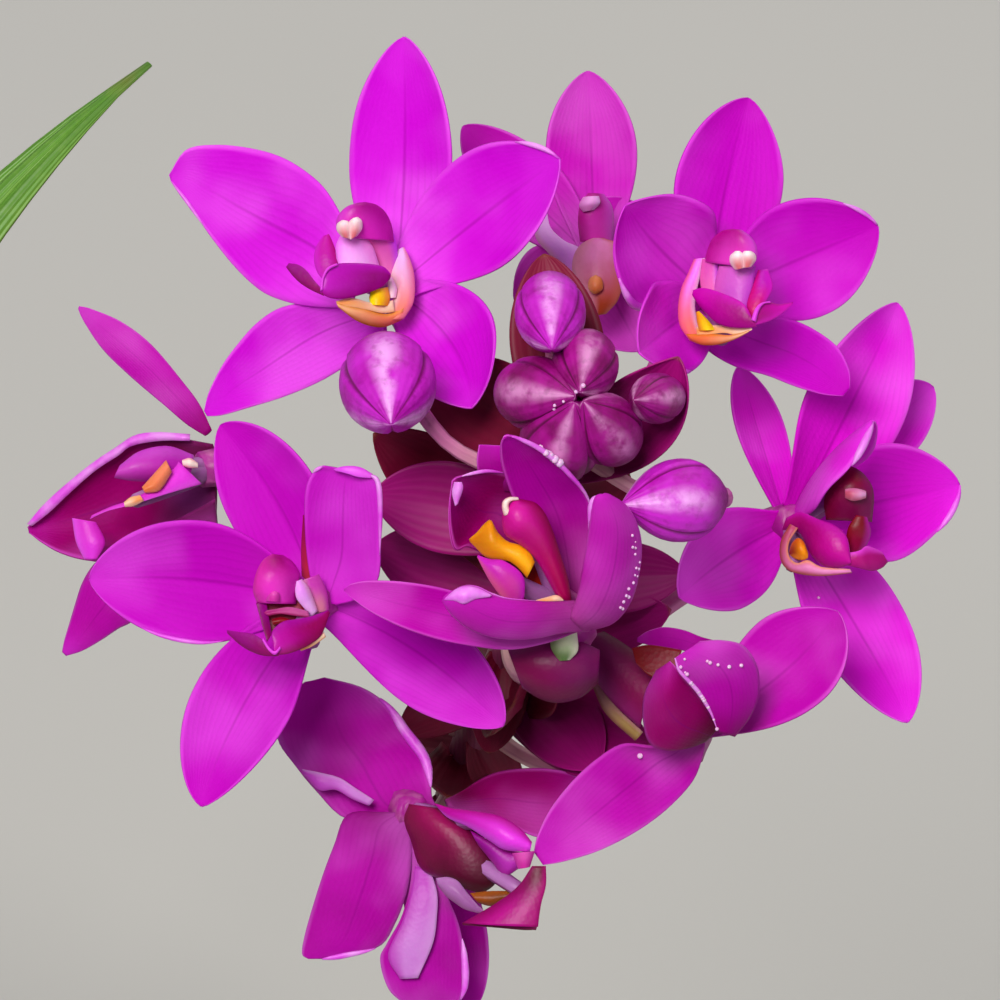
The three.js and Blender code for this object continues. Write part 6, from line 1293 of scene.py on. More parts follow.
# The flower stem, from the crown of buds down behind the blooms
FLOWER_STEM = [
    (7.9, 9.6, 9), (6, 1.5, 0), (3.2, -7.5, -12), (0.4, -15, -23), (-2.2, -21.5, -34),
    (-4.4, -28, -45), (-6, -35.5, -57), (-6.8, -44, -71),
]
SCAPE_FOOT = (17.0, -13.0, 106.0)
SCAPE_KNEE = (15.0, -12.0, 196.0)
SCAPE_WAIST = (5.0, -14.0, 321.0)
SCAPE_FOOT_RADIUS = 3.2
SCAPE_TOP_RADIUS = 1.3
FINE_STEPS = 240


def stalk_root(share, target):
    """Where a stalk leaves the flower stem towards a place, and the way it leaves."""
    fine = smooth_path(head_place(FLOWER_STEM), FINE_STEPS)
    k = int(share * (FINE_STEPS - 1))
    going = unit(fine[k + 1] - fine[k - 1])
    away = square_to(target - fine[k], going)
    return fine[k] + away * SCAPE_TOP_RADIUS * 0.8, away, going


def petal_grids(bloom):
    """The inner faces of a bloom's petals and sepals, in the order of its table."""
    heart = head_place(bloom["heart"])
    looks = unit(head_way(bloom["looks"]))
    grids = []
    for seat, petal in zip(PETAL_SEATS, bloom["petals"]):
        if isinstance(petal, dict):
            grids.append(drape(petal["first"], petal["second"], petal["bulge"], *TRACED_GRID))
            continue
        across, up, out, width, form = petal
        form = dict(form)
        faces = head_way(form.pop("faces", bloom["looks"]))
        tip = head_place((across, up, out))
        base = heart + looks * seat + unit(tip - heart) * PETAL_START
        grids.append(blade_grid(base, tip, faces, width, form, *PETAL_GRID))
    return grids


ROLL_RADII = [0.15, 0.8, 1.0, 0.8, 0.25]
ROLL_SIDES = 10


def roll_shape(grid, edge, start, end, radius):
    """A margin rolled in on itself, from one share of a petal's length to another."""
    rows = len(grid) - 1
    margin = grid[int(start * rows):int(end * rows) + 1, edge]
    return stem(margin, spread(ROLL_RADII, len(margin)) * radius, ROLL_SIDES)


def seen_places(corners):
    """Where points appear to the eye, in millimetres at the head's middle, and how near they are."""
    away = corners - HEAD_MIDDLE
    out = away @ OUT
    nearer = (EYE_DISTANCE - out) / EYE_DISTANCE
    return away @ ACROSS / nearer, away @ UP / nearer, out


BEAD_RISE = np.linspace(-0.98, 0.98, 7)
BEAD_SCATTER = 0.12
BEAD_SIDES = 8
NEARNESS = 0.04


def bead_shapes(carrier, strips, seed):
    """Small beads of dew that sit on a carrier's nearest points along strips of its view."""
    rng = np.random.default_rng(seed)
    x, y, out = seen_places(carrier)
    beads = []
    for start, end, count, radius in strips:
        for share in rng.uniform(0, 1, count):
            place = np.add(start, np.subtract(end, start) * share) + rng.normal(0, BEAD_SCATTER, 2)
            nearest = np.argmin(np.hypot(x - place[0], y - place[1]) - NEARNESS * out)
            size = radius * rng.uniform(0.6, 1.15)
            centre = carrier[nearest] + OUT * size * 0.5
            points = centre + BEAD_RISE[:, None] * OUT * size
            beads.append(stem(points, size * np.sqrt(1 - BEAD_RISE**2), BEAD_SIDES, facing=ACROSS))
    return join_shapes(beads)


PEDICEL_RADII = [0.9, 0.8, 0.85, 1.1, 1.7, 2.3, 1.8]
PEDICEL_STEPS = 26
PEDICEL_SIDES = 14


def pedicel_shape(bloom):
    """The stalk of a bloom, which swells to six ribs of ovary behind it."""
    heart = head_place(bloom["heart"])
    looks = unit(head_way(bloom["looks"]))
    root, away, _ = stalk_root(bloom["root"], heart)
    pull = np.linalg.norm(heart - root) * 0.35
    guides = [root, root + away * pull, heart - looks * pull, heart + looks * 0.9]
    points, _ = bezier(guides, np.linspace(0, 1, PEDICEL_STEPS))
    radii = spread(PEDICEL_RADII, PEDICEL_STEPS)
    return stem(points, radii, PEDICEL_SIDES, ridges=lambda turn: 1 + 0.06 * np.cos(6 * turn))


CORE_RADII = [1.3, 1.0, 0.75]
CORE_SAG = -0.4
CORE_DEPTH = 0.5
CORE_STEPS = 8
CORE_SIDES = 8
CORED_PARTS = {"column", "lip", "claw"}
# Mouth parts with a slot name of their own, and what their nodes are called
MOUTH_SLOTS = {"humps": ("callus", "callus"), "cap": ("cap", "anther_cap")}


def make_mouth(letter, skins):
    """The column and lip of a bloom, part by part."""
    for name, (skin, front, back, first, second) in PARTS[letter].items():
        slot, node = MOUTH_SLOTS.get(name.split("_")[0], ("petal", ""))
        nodes = [f"{node}_{letter}"] if name in MOUTH_SLOTS else []
        piece(f"{name}_{letter}", cushion(first, second, front, back), skins[skin], slot, *nodes)


def core_shape(bloom, parts):
    """The flesh behind a mouth: a core from the bloom's heart to each of its main parts."""
    heart = head_place(bloom["heart"])
    cores = []
    for name in sorted(CORED_PARTS & parts.keys()):
        _, _, back, first, second = parts[name]
        middle = drape(first, second, -back, 3, 3)[1, 1] - OUT * CORE_DEPTH
        guides = [heart, heart + (middle - heart) * 0.5 + UP * CORE_SAG, middle]
        points, _ = bezier(guides, np.linspace(0, 1, CORE_STEPS))
        cores.append(stem(points, spread(CORE_RADII, CORE_STEPS), CORE_SIDES))
    return join_shapes(cores)


def make_petals(letter, bloom, skins):
    """A bloom's petals and sepals, with the insides of their cupped ones in painted shade, rolled margins
    and dew.
    """
    grids = petal_grids(bloom)
    # Cupped petals, whose insides face the eye, take a darker copy of the petal skin: painted shade
    dark = [isinstance(each, dict) and each.get("cup", False) for each in bloom["petals"]]
    sheets = [thickened(grid, PETAL_THICKNESS) for grid in grids]
    petals = join_shapes([made for made, cup in zip(sheets, dark) if not cup])
    skin = petal_surface(f"petal skin {letter}", *PETAL_COLOURS[letter])
    piece(f"petals_{letter}", petals, skin, "petal", f"bloom_{letter}")
    if any(dark):
        cups = join_shapes([made for made, cup in zip(sheets, dark) if cup])
        piece(f"cup_{letter}", cups, skins["hollow"], "petal")
    if letter in ROLLS:
        rolls = [roll_shape(grids[which], *roll) for which, *roll in ROLLS[letter]]
        piece(f"rolls_{letter}", join_shapes(rolls), skins["pale"], "petal")
    if letter in DEW:
        beads = bead_shapes(petals[0], DEW[letter], ord(letter))
        piece(f"dew_{letter}", beads, skins["dew"], "petal")


def make_blooms():
    pedicel = pedicel_surface()
    # A darker copy of the petal skin for the insides of cupped petals: painted shade
    hollow = petal_surface("petal hollow", (150, 0, 100), (84, 0, 34), (176, 10, 150), (230, 96, 224))
    skins = {name: tinted_surface(name, *colours) for name, colours in TINTS.items()}
    skins |= {"cap": cap_surface(), "pale": roll_surface(), "dew": dew_surface(), "hollow": hollow}
    for letter, bloom in BLOOMS.items():
        make_petals(letter, bloom, skins)
        piece(f"pedicel_{letter}", pedicel_shape(bloom), pedicel, "petal")
        make_mouth(letter, skins)
        piece(f"core_{letter}", core_shape(bloom, PARTS[letter]), skins["lilac"], "petal")


# Closed buds on their stalks
BUDS = {
    "bud_left": dict(width=9.6, tip=(-10.9, 7.7, 14), foot=(-11.5, 14.6, 2), root=0.15, via=(-5, 5.5, 2)),
    "bud_top": dict(width=7, tip=(5.2, 15.2, 17), foot=(4.9, 21.4, 5), root=0.1, via=(5.4, 13, 1.5)),
    "bud_right": dict(width=8.2, tip=(12.2, -0.5, 15), foot=(22.2, 0.3, 9), root=0.08, via=(15, 0.5, 4)),
    "bud_small": dict(width=5, tip=(13.4, 10, 16), foot=(17.4, 10.3, 8), root=0.05, via=(13, 8.5, 5)),
}
CROWN = [
    dict(tip=(7.4, 10.4, 17.4), foot=(0.8, 10.8, 7), width=7.4),
    dict(tip=(8, 10.9, 17.8), foot=(8.9, 15.4, 8), width=6.6),
    dict(tip=(7.4, 9.6, 17.4), foot=(5.2, 3.4, 6), width=8.2),
    dict(tip=(8.4, 9.8, 17.6), foot=(12.4, 5, 8), width=6.8),
]
BUD_SHARES = [0.3, 0.62, 0.85, 0.97, 1.0, 0.98, 0.9, 0.76, 0.56, 0.32, 0.06]
BUD_STEPS = 30
BUD_SIDES = 48
BUD_STALK_RADII = [0.9, 0.75, 0.9, 1.4]
BUD_STALK_STEPS = 18
BUD_STALK_SIDES = 12
CROWN_DEW_SEED = 5
CROWN_HUB = (8, 10, 9.4)
CROWN_STALK_RADII = np.full(8, 0.8)
CROWN_STALK_SIDES = 10


def bud_shape(bud):
    """Three overlapping sepals: a full egg with a seam between each two and a ridge to the eye."""
    foot, tip = head_place(bud["foot"]), head_place(bud["tip"])
    points = foot + (tip - foot) * np.linspace(0, 1, BUD_STEPS)[:, None]
    radii = spread(BUD_SHARES, BUD_STEPS) * bud["width"] / 2

    def seams(turn):
        off_ridge = np.abs((turn * 3 / (2 * math.pi)) % 1 * 2 - 1)
        return 1.03 - 0.04 * off_ridge - 0.08 * np.clip((off_ridge - 0.84) / 0.16, 0, 1) ** 2

    return stem(points, radii, BUD_SIDES, facing=np.cross(unit(tip - foot), OUT), ridges=seams)


def make_buds():
    single = bud_surface("bud skin", (178, 10, 168), (206, 36, 206), (248, 176, 250), (116, 0, 88))
    packed = bud_surface("crown bud skin", (126, 0, 92), (170, 14, 142), (226, 150, 208), (84, 0, 52))
    stalk = pedicel_surface()
    for name, bud in BUDS.items():
        skin = packed if name == "bud_small" else single
        piece(name + "_sepals", bud_shape(bud), skin, "bud", name)
        root, away, _ = stalk_root(bud["root"], head_place(bud["via"]))
        foot, tip = head_place(bud["foot"]), head_place(bud["tip"])
        path = [root, head_place(bud["via"]), foot, foot + (tip - foot) * 0.12]
        points = smooth_path(path, BUD_STALK_STEPS)
        radii = spread(BUD_STALK_RADII, BUD_STALK_STEPS)
        piece(name + "_stalk", stem(points, radii, BUD_STALK_SIDES), stalk, "bud")
    crown = join_shapes([bud_shape(bud) for bud in CROWN])
    piece("crown_sepals", crown, packed, "bud", "bud_crown")
    piece("crown_dew", bead_shapes(crown[0], CROWN_DEW, CROWN_DEW_SEED), dew_surface(), "bud")
    hub = head_place(CROWN_HUB)
    stalks = []
    for bud in CROWN:
        foot, tip = head_place(bud["foot"]), head_place(bud["tip"])
        path = [hub, (hub + foot) / 2, foot + (tip - foot) * 0.15]
        points = smooth_path(path, len(CROWN_STALK_RADII))
        stalks.append(stem(points, CROWN_STALK_RADII, CROWN_STALK_SIDES))
    piece("crown_stalks", join_shapes(stalks), stalk, "bud")


# The scape, its sheaths and its bracts
SHEATH_PLACES = (0.12, 0.36, 0.6)
SHEATH_BELOW = 0.008
SHEATH_ABOVE = 0.075
SHEATH_SWELL = [0.05, 0.75, 1.0, 0.9, 0.75, 0.15]
SCAPE_STEPS = 300
SCAPE_SIDES = 18
BRACT_LENGTH = 11.0
BRACT_WIDTH = 6.5
BRACT_THICKNESS = 0.45
BRACT_GRID = (18, 10)
HEAD_BRACT_GRID = (26, 12)


def scape_path():
    """The scape's middle line from the soil to the crown, in even steps."""
    points = head_place(FLOWER_STEM)[::-1]
    line = smooth_path(np.vstack([SCAPE_FOOT, SCAPE_KNEE, SCAPE_WAIST, points]), 2 * SCAPE_STEPS)
    steps = np.concatenate([[0], np.cumsum(np.linalg.norm(np.diff(line, axis=0), axis=1))])
    wanted = np.linspace(0, steps[-1], SCAPE_STEPS)
    return np.stack([np.interp(wanted, steps, line[:, k]) for k in range(3)], 1)


def scape_radius(share):
    return SCAPE_FOOT_RADIUS + (SCAPE_TOP_RADIUS - SCAPE_FOOT_RADIUS) * share**1.5


def sheath_shape(path, share):
    """A papery sheath wrapped round the scape, swelling out from it and closing in again towards its top.
    """
    count = len(path) - 1
    points = path[int((share - SHEATH_BELOW) * count):int((share + SHEATH_ABOVE) * count)]
    radii = scape_radius(share) + spread(SHEATH_SWELL, len(points))
    return stem(points, radii, SCAPE_SIDES, ridges=lambda turn: 1 + 0.03 * np.cos(9 * turn))


def bract_shape(bloom):
    """The bract that stands under a bloom's stalk, cupped towards it."""
    root, away, going = stalk_root(bloom["root"], head_place(bloom["heart"]))
    base = root - away * 0.5 + going * 2.6
    tip = base + away * BRACT_LENGTH * 0.75 + going * BRACT_LENGTH * 0.6
    form = dict(widest=0.35, curl=-0.3, claw=0.5, groove=0.5)
    grid = blade_grid(base, tip, -going, BRACT_WIDTH, form, *BRACT_GRID)
    return thickened(grid, BRACT_THICKNESS)


# Bracts deep in the head: where each leaves the flower stem, as a share from its top, and its
# tip across, up and out, width and form, as for a petal
# They are dark pieces in the gaps between the blooms: partly bracts in their own wine and rose, partly
# painted shade.
WINE_BRACTS = [
    (0.06, 4.4, 24.6, 0, 9.6, dict(claw=0.7, widest=0.5, cup=(0.3, 0.5))),
    (0.5, 1.2, -20.4, -6, 9.4, dict(claw=0.6)),
    (0.66, -5.2, -29.5, -24, 8, dict(claw=0.7)),
    (0.3, -12.6, 6.6, -6, 8.6, dict(claw=0.6, sweep=0.2)),
    (0.1, -7.5, 12.5, -8, 11, dict(claw=0.6)),
    (0.16, 13, 2.5, -6, 10.5, dict(claw=0.6)),
    (0.52, 5.4, -17, -9, 9, dict(claw=0.5)),
]
ROSE_BRACTS = [
    (0.1, 17.8, 14.2, 10, 9.8, dict(claw=0.6, sweep=0.5, cup=(0.9, 1.1))),
    (0.22, -12.8, 0.4, -7, 9.6, dict(claw=0.5, sweep=0.1)),
    (0.32, -12.5, -4.6, -12, 8.6, dict(claw=0.5)),
    (0.3, 18.6, -7.4, -15, 7.6, dict(claw=0.5)),
    (0.42, 17, -11, -14, 7, dict(claw=0.5)),
    (0.48, 9.8, -26.8, -14, 8.6, dict(claw=0.5, sweep=-0.2)),
    (0.5, 15, -24.5, -9, 9.5, dict(claw=0.5, sweep=0.2)),
]


def head_bracts(table):
    bracts = []
    for share, across, up, out, width, form in table:
        tip = head_place((across, up, out))
        root, away, _ = stalk_root(share, tip)
        form = dict(widest=0.55, groove=0.4, arch=0.3, curl=0.3) | form
        grid = blade_grid(root - away * 0.6, tip, OUT, width, form, *HEAD_BRACT_GRID)
        bracts.append(thickened(grid, BRACT_THICKNESS))
    return join_shapes(bracts)


def make_scape():
    skin = scape_surface()
    bract = bract_surface("bract skin", (96, 2, 34), (128, 10, 54))
    rose = bract_surface("rose bract skin", (138, 2, 92), (172, 10, 126))
    path = scape_path()
    radii = scape_radius(np.linspace(0, 1, SCAPE_STEPS))
    piece("scape_stem", stem(path, radii, SCAPE_SIDES), skin, "scape", "scape")
    sheaths = [sheath_shape(path, share) for share in SHEATH_PLACES]
    piece("scape_sheaths", join_shapes(sheaths), bract, "scape")
    bracts = [bract_shape(bloom) for bloom in BLOOMS.values()]
    piece("scape_bracts", join_shapes(bracts), bract, "scape")
    # The head's bracts: dark partly as bracts and partly as painted shade between the blooms
    piece("wine_bracts", head_bracts(WINE_BRACTS), bract, "scape")
    piece("rose_bracts", head_bracts(ROSE_BRACTS), rose, "scape")


# Pot, soil and clump
POT_HEIGHT = 130.0
POT_BASE_RADIUS = 50.0
POT_TOP_RADIUS = 70.0
POT_WALL = 4.5
RIM_HEIGHT = 22.0
RIM_STEP = 4.5
RIM_BEVEL = 1.5
POT_SIDES = 96
POT_ROUNDING = 1.2
ROUNDING_STEPS = 4
DRAIN_RADIUS = 5.0
DRAIN_SIDES = 24
DRAIN_CIRCLE = 28.0
SOIL_LEVEL = 116.0
SOIL_BUMP = 2.4
SOIL_DEPTH = 12.0
SOIL_RINGS = 60
SOIL_SIDES = 150
SOIL_SEED = 7
CLEARANCE = 0.3
BULB_FOOT_RADIUS = 7.0
BULB_FOOT_DEPTH = 10.0
BULBS = [
    dict(place=(1, 5), width=25, height=28),
    dict(place=(-26, -3), width=23, height=25),
    dict(place=(28, 10), width=23, height=26),
    dict(place=(-7, 31), width=21, height=23),
    dict(place=(-3, -27), width=20, height=22),
]
LEAVES = [
    dict(bulb=1, seat=(2, 2.6), width=31, guides=[(-96, -50, 280), (-118, -22, 458), (-28, 54, 472)]),
    dict(bulb=1, seat=(-2, -2.6), width=34, guides=[(-60, -56, 266), (-120, -104, 338), (-172, -152, 242)]),
    dict(bulb=3, seat=(-3, 0), width=36, guides=[(-66, 58, 262), (-140, 86, 374), (-212, 104, 266)]),
    dict(bulb=3, seat=(3, 1), width=32, guides=[(26, 74, 206), (48, 142, 168), (62, 188, 64)]),
    dict(bulb=4, seat=(-3, 0), width=32, guides=[(-40, -80, 242), (-56, -160, 290), (-64, -210, 178)]),
    dict(bulb=4, seat=(3, 0), width=34, guides=[(32, -88, 250), (72, -152, 282), (104, -196, 170)]),
    dict(bulb=2, seat=(0, -3.6), width=35, guides=[(88, -40, 274), (152, -64, 322), (204, -88, 210)]),
    dict(bulb=2, seat=(0, 3.6), width=36, guides=[(96, 32, 306), (152, 64, 402), (210, 88, 314)]),
    dict(bulb=0, seat=(-2, 2), width=32, guides=[(74, 84, 190), (136, 134, 222), (182, 172, 124)]),
]
LEAF_THICKNESS = 0.8
LEAF_RISE = 50.0
LEAF_FOLDS = 3
LEAF_VEINS = 18
LEAF_WIDEST = 0.55
LEAF_GRID = (90, 36)
LEAF_EDGE = 0.6
PLEAT_HEIGHT = 2.0


def turned_shape(profile, sides, closed=False):
    """A form turned round the upright axis from a profile of radius and height."""
    profile = np.asarray(profile, float)
    turn = turns(sides)
    rows = len(profile)
    radius, height = profile[:, 0][:, None], profile[:, 1][:, None]
    ring = np.stack([radius * np.cos(turn), radius * np.sin(turn), height + 0 * turn], 2)
    faces = [[here, there, beyond, above] for here, above, beyond, there in ring_quads(rows, sides)]
    if closed:
        faces.append(list(reversed(range(sides))))
        faces.append(list(range((rows - 1) * sides, rows * sides)))
    return ring.reshape(-1, 3), faces, ring_places(rows, sides)


def pot_radius(height):
    return POT_BASE_RADIUS + (POT_TOP_RADIUS - POT_BASE_RADIUS) * height / POT_HEIGHT


def rounded(profile):
    """A profile with its corners rounded, apart from its two ends."""
    points = [profile[0]]
    for before, corner, after in zip(profile, profile[1:], profile[2:]):
        before, corner, after = (np.asarray(p, float) for p in (before, corner, after))
        nearest = min(np.linalg.norm(corner - before), np.linalg.norm(after - corner))
        cut = min(POT_ROUNDING, 0.4 * nearest)
        start = corner + unit(before - corner) * cut
        end = corner + unit(after - corner) * cut
        for share in np.linspace(0, 1, ROUNDING_STEPS):
            points.append((1 - share) ** 2 * start + 2 * share * (1 - share) * corner + share**2 * end)
    points.append(profile[-1])
    return points


def pot_profile():
    """Radius and height, from the foot up the outside, over the rim and down to the floor."""
    shoulder = POT_HEIGHT - RIM_HEIGHT
    outside = pot_radius(POT_HEIGHT) + RIM_STEP
    inside = pot_radius(POT_HEIGHT) - POT_WALL
    return rounded([
        (POT_BASE_RADIUS, 0),
        (pot_radius(shoulder), shoulder),
        (pot_radius(shoulder) + RIM_STEP, shoulder + RIM_BEVEL),
        (outside, POT_HEIGHT),
        (inside, POT_HEIGHT),
        (pot_radius(POT_WALL) - POT_WALL, POT_WALL),
    ])


def drain_holes(corners, faces):
    """Adds the walls of the four drain holes, and returns the lower and upper rim of each."""
    turn = turns(DRAIN_SIDES)
    holes = []
    for quarter in range(4):
        heading = math.pi / 4 + quarter * math.pi / 2
        x = DRAIN_CIRCLE * math.cos(heading) + DRAIN_RADIUS * np.cos(turn)
        y = DRAIN_CIRCLE * math.sin(heading) + DRAIN_RADIUS * np.sin(turn)
        rims = []
        for height in (0.0, POT_WALL):
            rims.append(list(range(len(corners), len(corners) + DRAIN_SIDES)))
            corners += [np.array([a, b, height]) for a, b in zip(x, y)]
        low, high = rims
        for k in range(DRAIN_SIDES):
            after = (k + 1) % DRAIN_SIDES
            faces.append([low[k], high[k], high[after], low[after]])
        holes.append(rims)
    return holes


def pierced_floor(corners, loops, down):
    """The faces of a flat floor between its edge and the rims of its holes, down or up."""
    order = [index for loop in loops for index in loop]
    outlines = [[Vector(corners[index]) for index in loop] for loop in loops]
    faces = []
    for triple in tessellate_polygon(outlines):
        a, b, c = (order[k] for k in triple)
        rising = np.cross(corners[b] - corners[a], corners[c] - corners[a])[2] > 0
        faces.append([a, c, b] if rising == down else [a, b, c])
    return faces


def pot_shape():
    """A turned clay pot with a rim band, open drain holes and a gently rounded lip."""
    corners, faces, _ = turned_shape(pot_profile(), POT_SIDES)
    corners = list(corners)
    last = len(corners) - POT_SIDES
    holes = drain_holes(corners, faces)
    for level, first, down in ((0, 0, True), (1, last, False)):
        edge = range(first, first + POT_SIDES)
        faces += pierced_floor(corners, [edge, *(rims[level] for rims in holes)], down)
    corners = np.array(corners)
    heading = np.arctan2(corners[:, 1], corners[:, 0])
    return corners, faces, np.column_stack([heading, corners[:, 2]]) / 100


def soil_height(x, y):
    """The height of the soil: broad and fine lumps, as in the solids."""
    broad = np.sin(x * 0.21 + 1.3) * np.cos(y * 0.17)
    fine = 0.6 * np.sin(x * 0.43 - y * 0.37)
    return SOIL_LEVEL + SOIL_BUMP * (broad + fine) / 1.6


def soil_shape():
    """The loam's own surface, crumbled more finely than the solid's."""
    rng = np.random.default_rng(SOIL_SEED)
    edge = pot_radius(SOIL_LEVEL) - POT_WALL - 3 * CLEARANCE
    radius = np.linspace(0.4, edge, SOIL_RINGS)[:, None]
    turn = turns(SOIL_SIDES)
    x, y = radius * np.cos(turn), radius * np.sin(turn)
    near_rim = np.clip((edge - radius) / 3, 0, 1)
    crumbs = rng.uniform(-0.5, 0.5, x.shape)
    top = SOIL_LEVEL + (soil_height(x, y) - SOIL_LEVEL) * near_rim + crumbs
    low = np.full(x.shape, SOIL_LEVEL - SOIL_DEPTH)
    return ring_solid(np.stack([x, y, top], 2), np.stack([x, y, low], 2))


def ring_solid(top, low):
    """A closed disc between two grids of rings round the upright axis."""
    rings, sides = top.shape[:2]
    count = rings * sides
    faces = []
    for quad in ring_quads(rings, sides):
        faces.append(quad)
        faces.append([index + count for index in reversed(quad)])
    faces.append(list(range(sides)))
    faces.append([index + count for index in reversed(range(sides))])
    last = (rings - 1) * sides
    for k in range(sides):
        here, there = last + k, last + (k + 1) % sides
        faces.append([here, here + count, there + count, there])
    corners = np.vstack([top.reshape(-1, 3), low.reshape(-1, 3)])
    return corners, faces, np.abs(corners[:, :2]) / 100


CHIP_COUNT = 230
CHIP_SEED = 11
CHIP_SMALLEST = [1.8, 1.2, 0.5]
CHIP_LARGEST = [5.0, 2.6, 1.1]
CHIP_LEAN = 0.22
CHIP_CORNERS = np.array([
    (-1, -1, -1), (1, -1, -1), (1, 1, -1), (-1, 1, -1),
    (-1, -1, 1), (1, -1, 1), (1, 1, 1), (-1, 1, 1),
], float)
CHIP_FACES = [[0, 3, 2, 1], [4, 5, 6, 7], [0, 1, 5, 4], [1, 2, 6, 5], [2, 3, 7, 6], [3, 0, 4, 7]]


def chips_shape():
    """Bark chips lying on the loam, clear of the pseudobulbs and the scape."""
    rng = np.random.default_rng(CHIP_SEED)
    edge = pot_radius(SOIL_LEVEL) - POT_WALL - 5
    taken = [(*bulb["place"], bulb["width"] / 2) for bulb in BULBS]
    taken.append((SCAPE_FOOT[0], SCAPE_FOOT[1], SCAPE_FOOT_RADIUS + 1))
    shapes = []
    while len(shapes) < CHIP_COUNT:
        x, y = rng.uniform(-edge, edge, 2)
        size = rng.uniform(CHIP_SMALLEST, CHIP_LARGEST)
        reach = size[0] * 0.8
        blocked = any(math.hypot(x - a, y - b) < r + reach for a, b, r in taken)
        if math.hypot(x, y) > edge - reach or blocked:
            continue
        corners = CHIP_CORNERS * size * rng.uniform(0.65, 1.0, (8, 3))
        tilt = rng.normal(0, CHIP_LEAN, 2)
        pose = Matrix.Rotation(rng.uniform(0, 2 * math.pi), 3, "Z")
        for lean, axis in zip(tilt, "XY"):
            pose = pose @ Matrix.Rotation(lean, 3, axis)
        corners = corners @ np.array(pose).T
        height = soil_height(x, y) + rng.uniform(0.2, 1.6)
        shapes.append((corners + (x, y, height), CHIP_FACES, CHIP_CORNERS[:, :2] * 0.5 + 0.5))
    return join_shapes(shapes)


BULB_SHARES = [0.86, 1.0, 0.84, 0.44]
BULB_RISES = [0.1, 0.36, 0.64, 1.0]
BULB_STEPS = 40
BULB_SIDES = 40
BULB_SCARS = 40


def bulb_shape(bulb):
    """A squat pseudobulb with ringed scars, on a foot that goes into the soil."""
    x, y = bulb["place"]
    radius = bulb["width"] / 2
    seat = SOIL_LEVEL + SOIL_BUMP + CLEARANCE
    foot = SOIL_LEVEL - BULB_FOOT_DEPTH + CLEARANCE
    rise = np.linspace(0, 1, BULB_STEPS)
    width = np.interp(rise, BULB_RISES, BULB_SHARES)
    round_off = np.sqrt(np.clip(rise / 0.1, 0, 1))
    width = np.minimum(width, 0.56 + 0.3 * round_off)
    smooth = np.convolve(np.pad(width, 3, mode="edge"), np.ones(7) / 7, mode="valid")
    scars = 1 - 0.02 * (np.sin(rise * BULB_SCARS) > 0.8)
    profile = [(0.2, foot), (BULB_FOOT_RADIUS - 0.3, foot), (BULB_FOOT_RADIUS - 0.3, seat)]
    profile += [(w * radius, seat + r * bulb["height"]) for w, r in zip(smooth * scars, rise)]
    profile.append((0.2, seat + bulb["height"]))
    corners, faces, places = turned_shape(profile, BULB_SIDES, closed=True)
    return corners + (x, y, 0), faces, places


def leaf_half_width(width, along):
    grown = np.sin(np.minimum(along / LEAF_WIDEST, 1) * math.pi / 2) ** 1.6
    past = np.maximum((along - LEAF_WIDEST) / (1 - LEAF_WIDEST), 0)
    closing = np.maximum(1 - past**2.2, 0.02)
    return width / 2 * (0.13 + 0.87 * grown) * closing


def leaf_shape(leaf):
    """A pleated leaf: three sharp folds across, and a shallow trough along the middle."""
    x, y = BULBS[leaf["bulb"]]["place"]
    neck = SOIL_LEVEL + SOIL_BUMP + CLEARANCE + BULBS[leaf["bulb"]]["height"]
    base = np.array([x + leaf["seat"][0], y + leaf["seat"][1], neck + CLEARANCE])
    guides = [base, base + (0, 0, LEAF_RISE), *leaf["guides"]]
    rows, columns = LEAF_GRID
    along = np.linspace(0, 1, rows + 1)
    middle, going = bezier(guides, along)
    lift = np.array([base[0] - leaf["guides"][0][0], base[1] - leaf["guides"][0][1], 0.0])
    lifts = []
    for way in going:
        lift = square_to(lift, way)
        lifts.append(lift)
    lifts = np.array(lifts)
    sides = np.cross(going, lifts)
    half = leaf_half_width(leaf["width"], along)[:, None, None]
    across = np.linspace(-1, 1, columns + 1)[None, :, None]
    fold = np.abs(((across + 1) * LEAF_FOLDS) % 2 - 1) * 2 - 1
    fold = np.sin(fold * 1.25) / math.sin(1.25)
    pleat = PLEAT_HEIGHT * 0.5 * np.minimum(half / 12, 1)
    ripple = 0.5 * np.sin(along * 21 + leaf["width"])[:, None, None] * np.abs(across) ** 3
    rise = pleat * fold + half * 0.25 * across**2 + ripple * np.minimum(half / 12, 1)
    grid = middle[:, None, :] + sides[:, None, :] * (half * across) + lifts[:, None, :] * rise
    return thickened(grid, LEAF_THICKNESS, LEAF_EDGE)


def make_pot():
    piece("clay_pot", pot_shape(), clay_surface(), "clay", "pot")


def make_plant():
    skin = leaf_surface()
    bulb_skin = bulb_surface()
    piece("soil_loam", soil_shape(), loam_surface(), "bark", "soil")
    piece("soil_chips", chips_shape(), bark_surface(), "bark")
    for k, bulb in enumerate(BULBS, 1):
        piece(f"bulb_{k}", bulb_shape(bulb), bulb_skin, "bulb", f"pseudobulb_{k}")
    for k, leaf in enumerate(LEAVES, 1):
        piece(f"blade_{k}", leaf_shape(leaf), skin, "leaf", f"leaf_{k}")


# Floor, lights and camera
FLOOR_HALF = 4.0
FLOOR_DROP = 0.0005


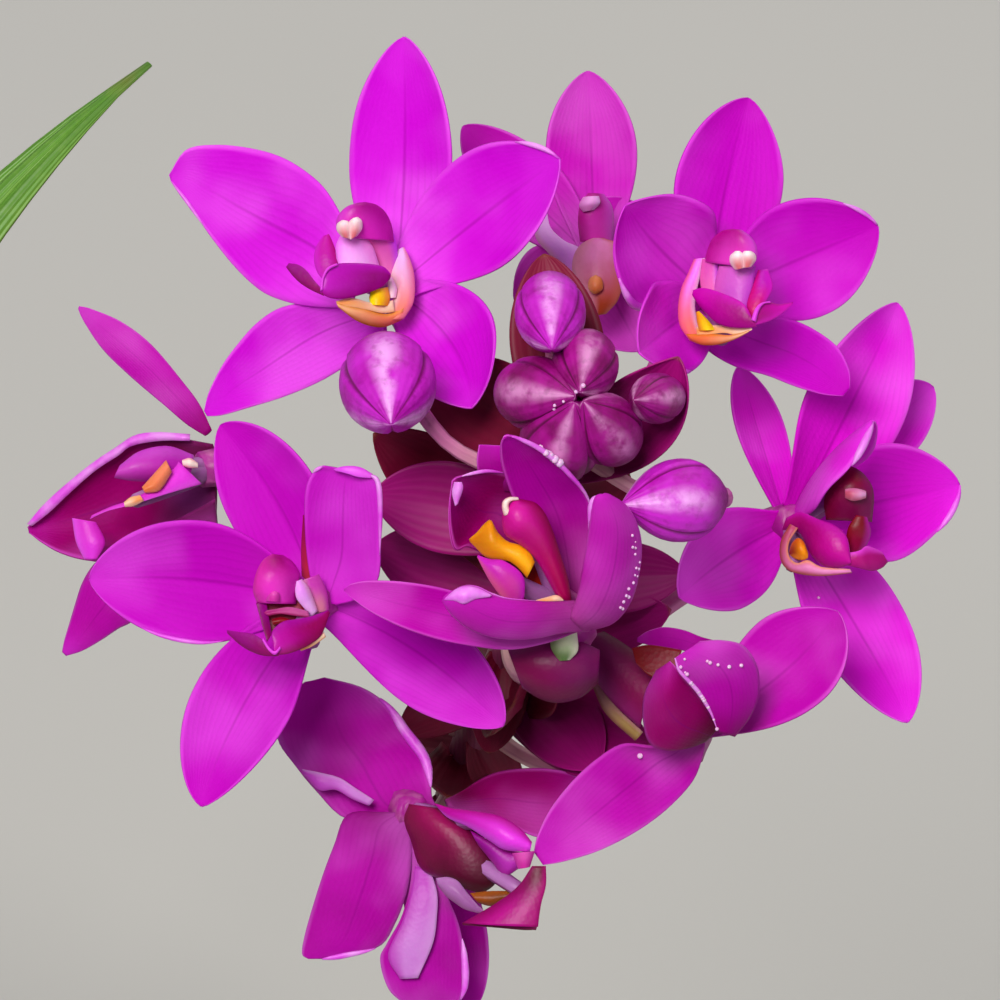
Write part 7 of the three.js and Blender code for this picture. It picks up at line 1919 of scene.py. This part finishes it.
def make_floor():
    made = bpy.data.meshes.new("floor")
    corners = [(x * FLOOR_HALF, y * FLOOR_HALF, 0) for x, y in ((-1, -1), (1, -1), (1, 1), (-1, 1))]
    made.from_pydata(corners, [], [[0, 1, 2, 3]])
    made.materials.append(floor_surface())
    thing = bpy.data.objects.new("floor", made)
    thing.location.z = -FLOOR_DROP
    bpy.context.scene.collection.objects.link(thing)


# Lights: name, place, watts, size and colour
LIGHTS = [
    ("key", (-0.3, -0.5, 1.8), 20.0, 0.55, (255, 252, 248)),
    ("fill", (0.95, -0.95, 1.0), 3.0, 1.2, (246, 248, 255)),
    ("back", (0.3, 1.1, 1.3), 5.0, 1.0, (255, 252, 246)),
]


SKY_COLOUR = (236, 240, 248)
SKY_STRENGTH = 0.24


def make_lights():
    target = Vector(HEAD_MIDDLE * MM)
    for name, place, power, size, colour in LIGHTS:
        lamp = bpy.data.lights.new(name, "AREA")
        lamp.energy = power
        lamp.size = size
        lamp.color = linear(colour)[:3]
        thing = bpy.data.objects.new(name, lamp)
        thing.location = place
        thing.rotation_euler = (target - Vector(place)).to_track_quat("-Z", "Y").to_euler()
        bpy.context.scene.collection.objects.link(thing)
    world = bpy.data.worlds.new("studio")
    world.use_nodes = True
    sky = world.node_tree.nodes["Background"]
    sky.inputs["Color"].default_value = linear(SKY_COLOUR)
    sky.inputs["Strength"].default_value = SKY_STRENGTH
    bpy.context.scene.world = world


SENSOR_WIDTH = 36.0
NEAREST_SEEN = 0.05
FARTHEST_SEEN = 20.0


def make_camera():
    lens = bpy.data.cameras.new("camera")
    lens.sensor_width = SENSOR_WIDTH
    lens.lens = SENSOR_WIDTH / 2 * EYE_DISTANCE / SEEN_HALF
    lens.clip_start = NEAREST_SEEN
    lens.clip_end = FARTHEST_SEEN
    thing = bpy.data.objects.new("camera", lens)
    thing.location = (HEAD_MIDDLE + EYE_DISTANCE * OUT) * MM
    thing.rotation_euler = Matrix((ACROSS, UP, OUT)).transposed().to_euler()
    bpy.context.scene.collection.objects.link(thing)
    bpy.context.scene.camera = thing


make_camera()
make_lights()
make_floor()
make_pot()
make_plant()
make_scape()
make_buds()
make_blooms()
bpy.context.scene.view_settings.view_transform = "Standard"
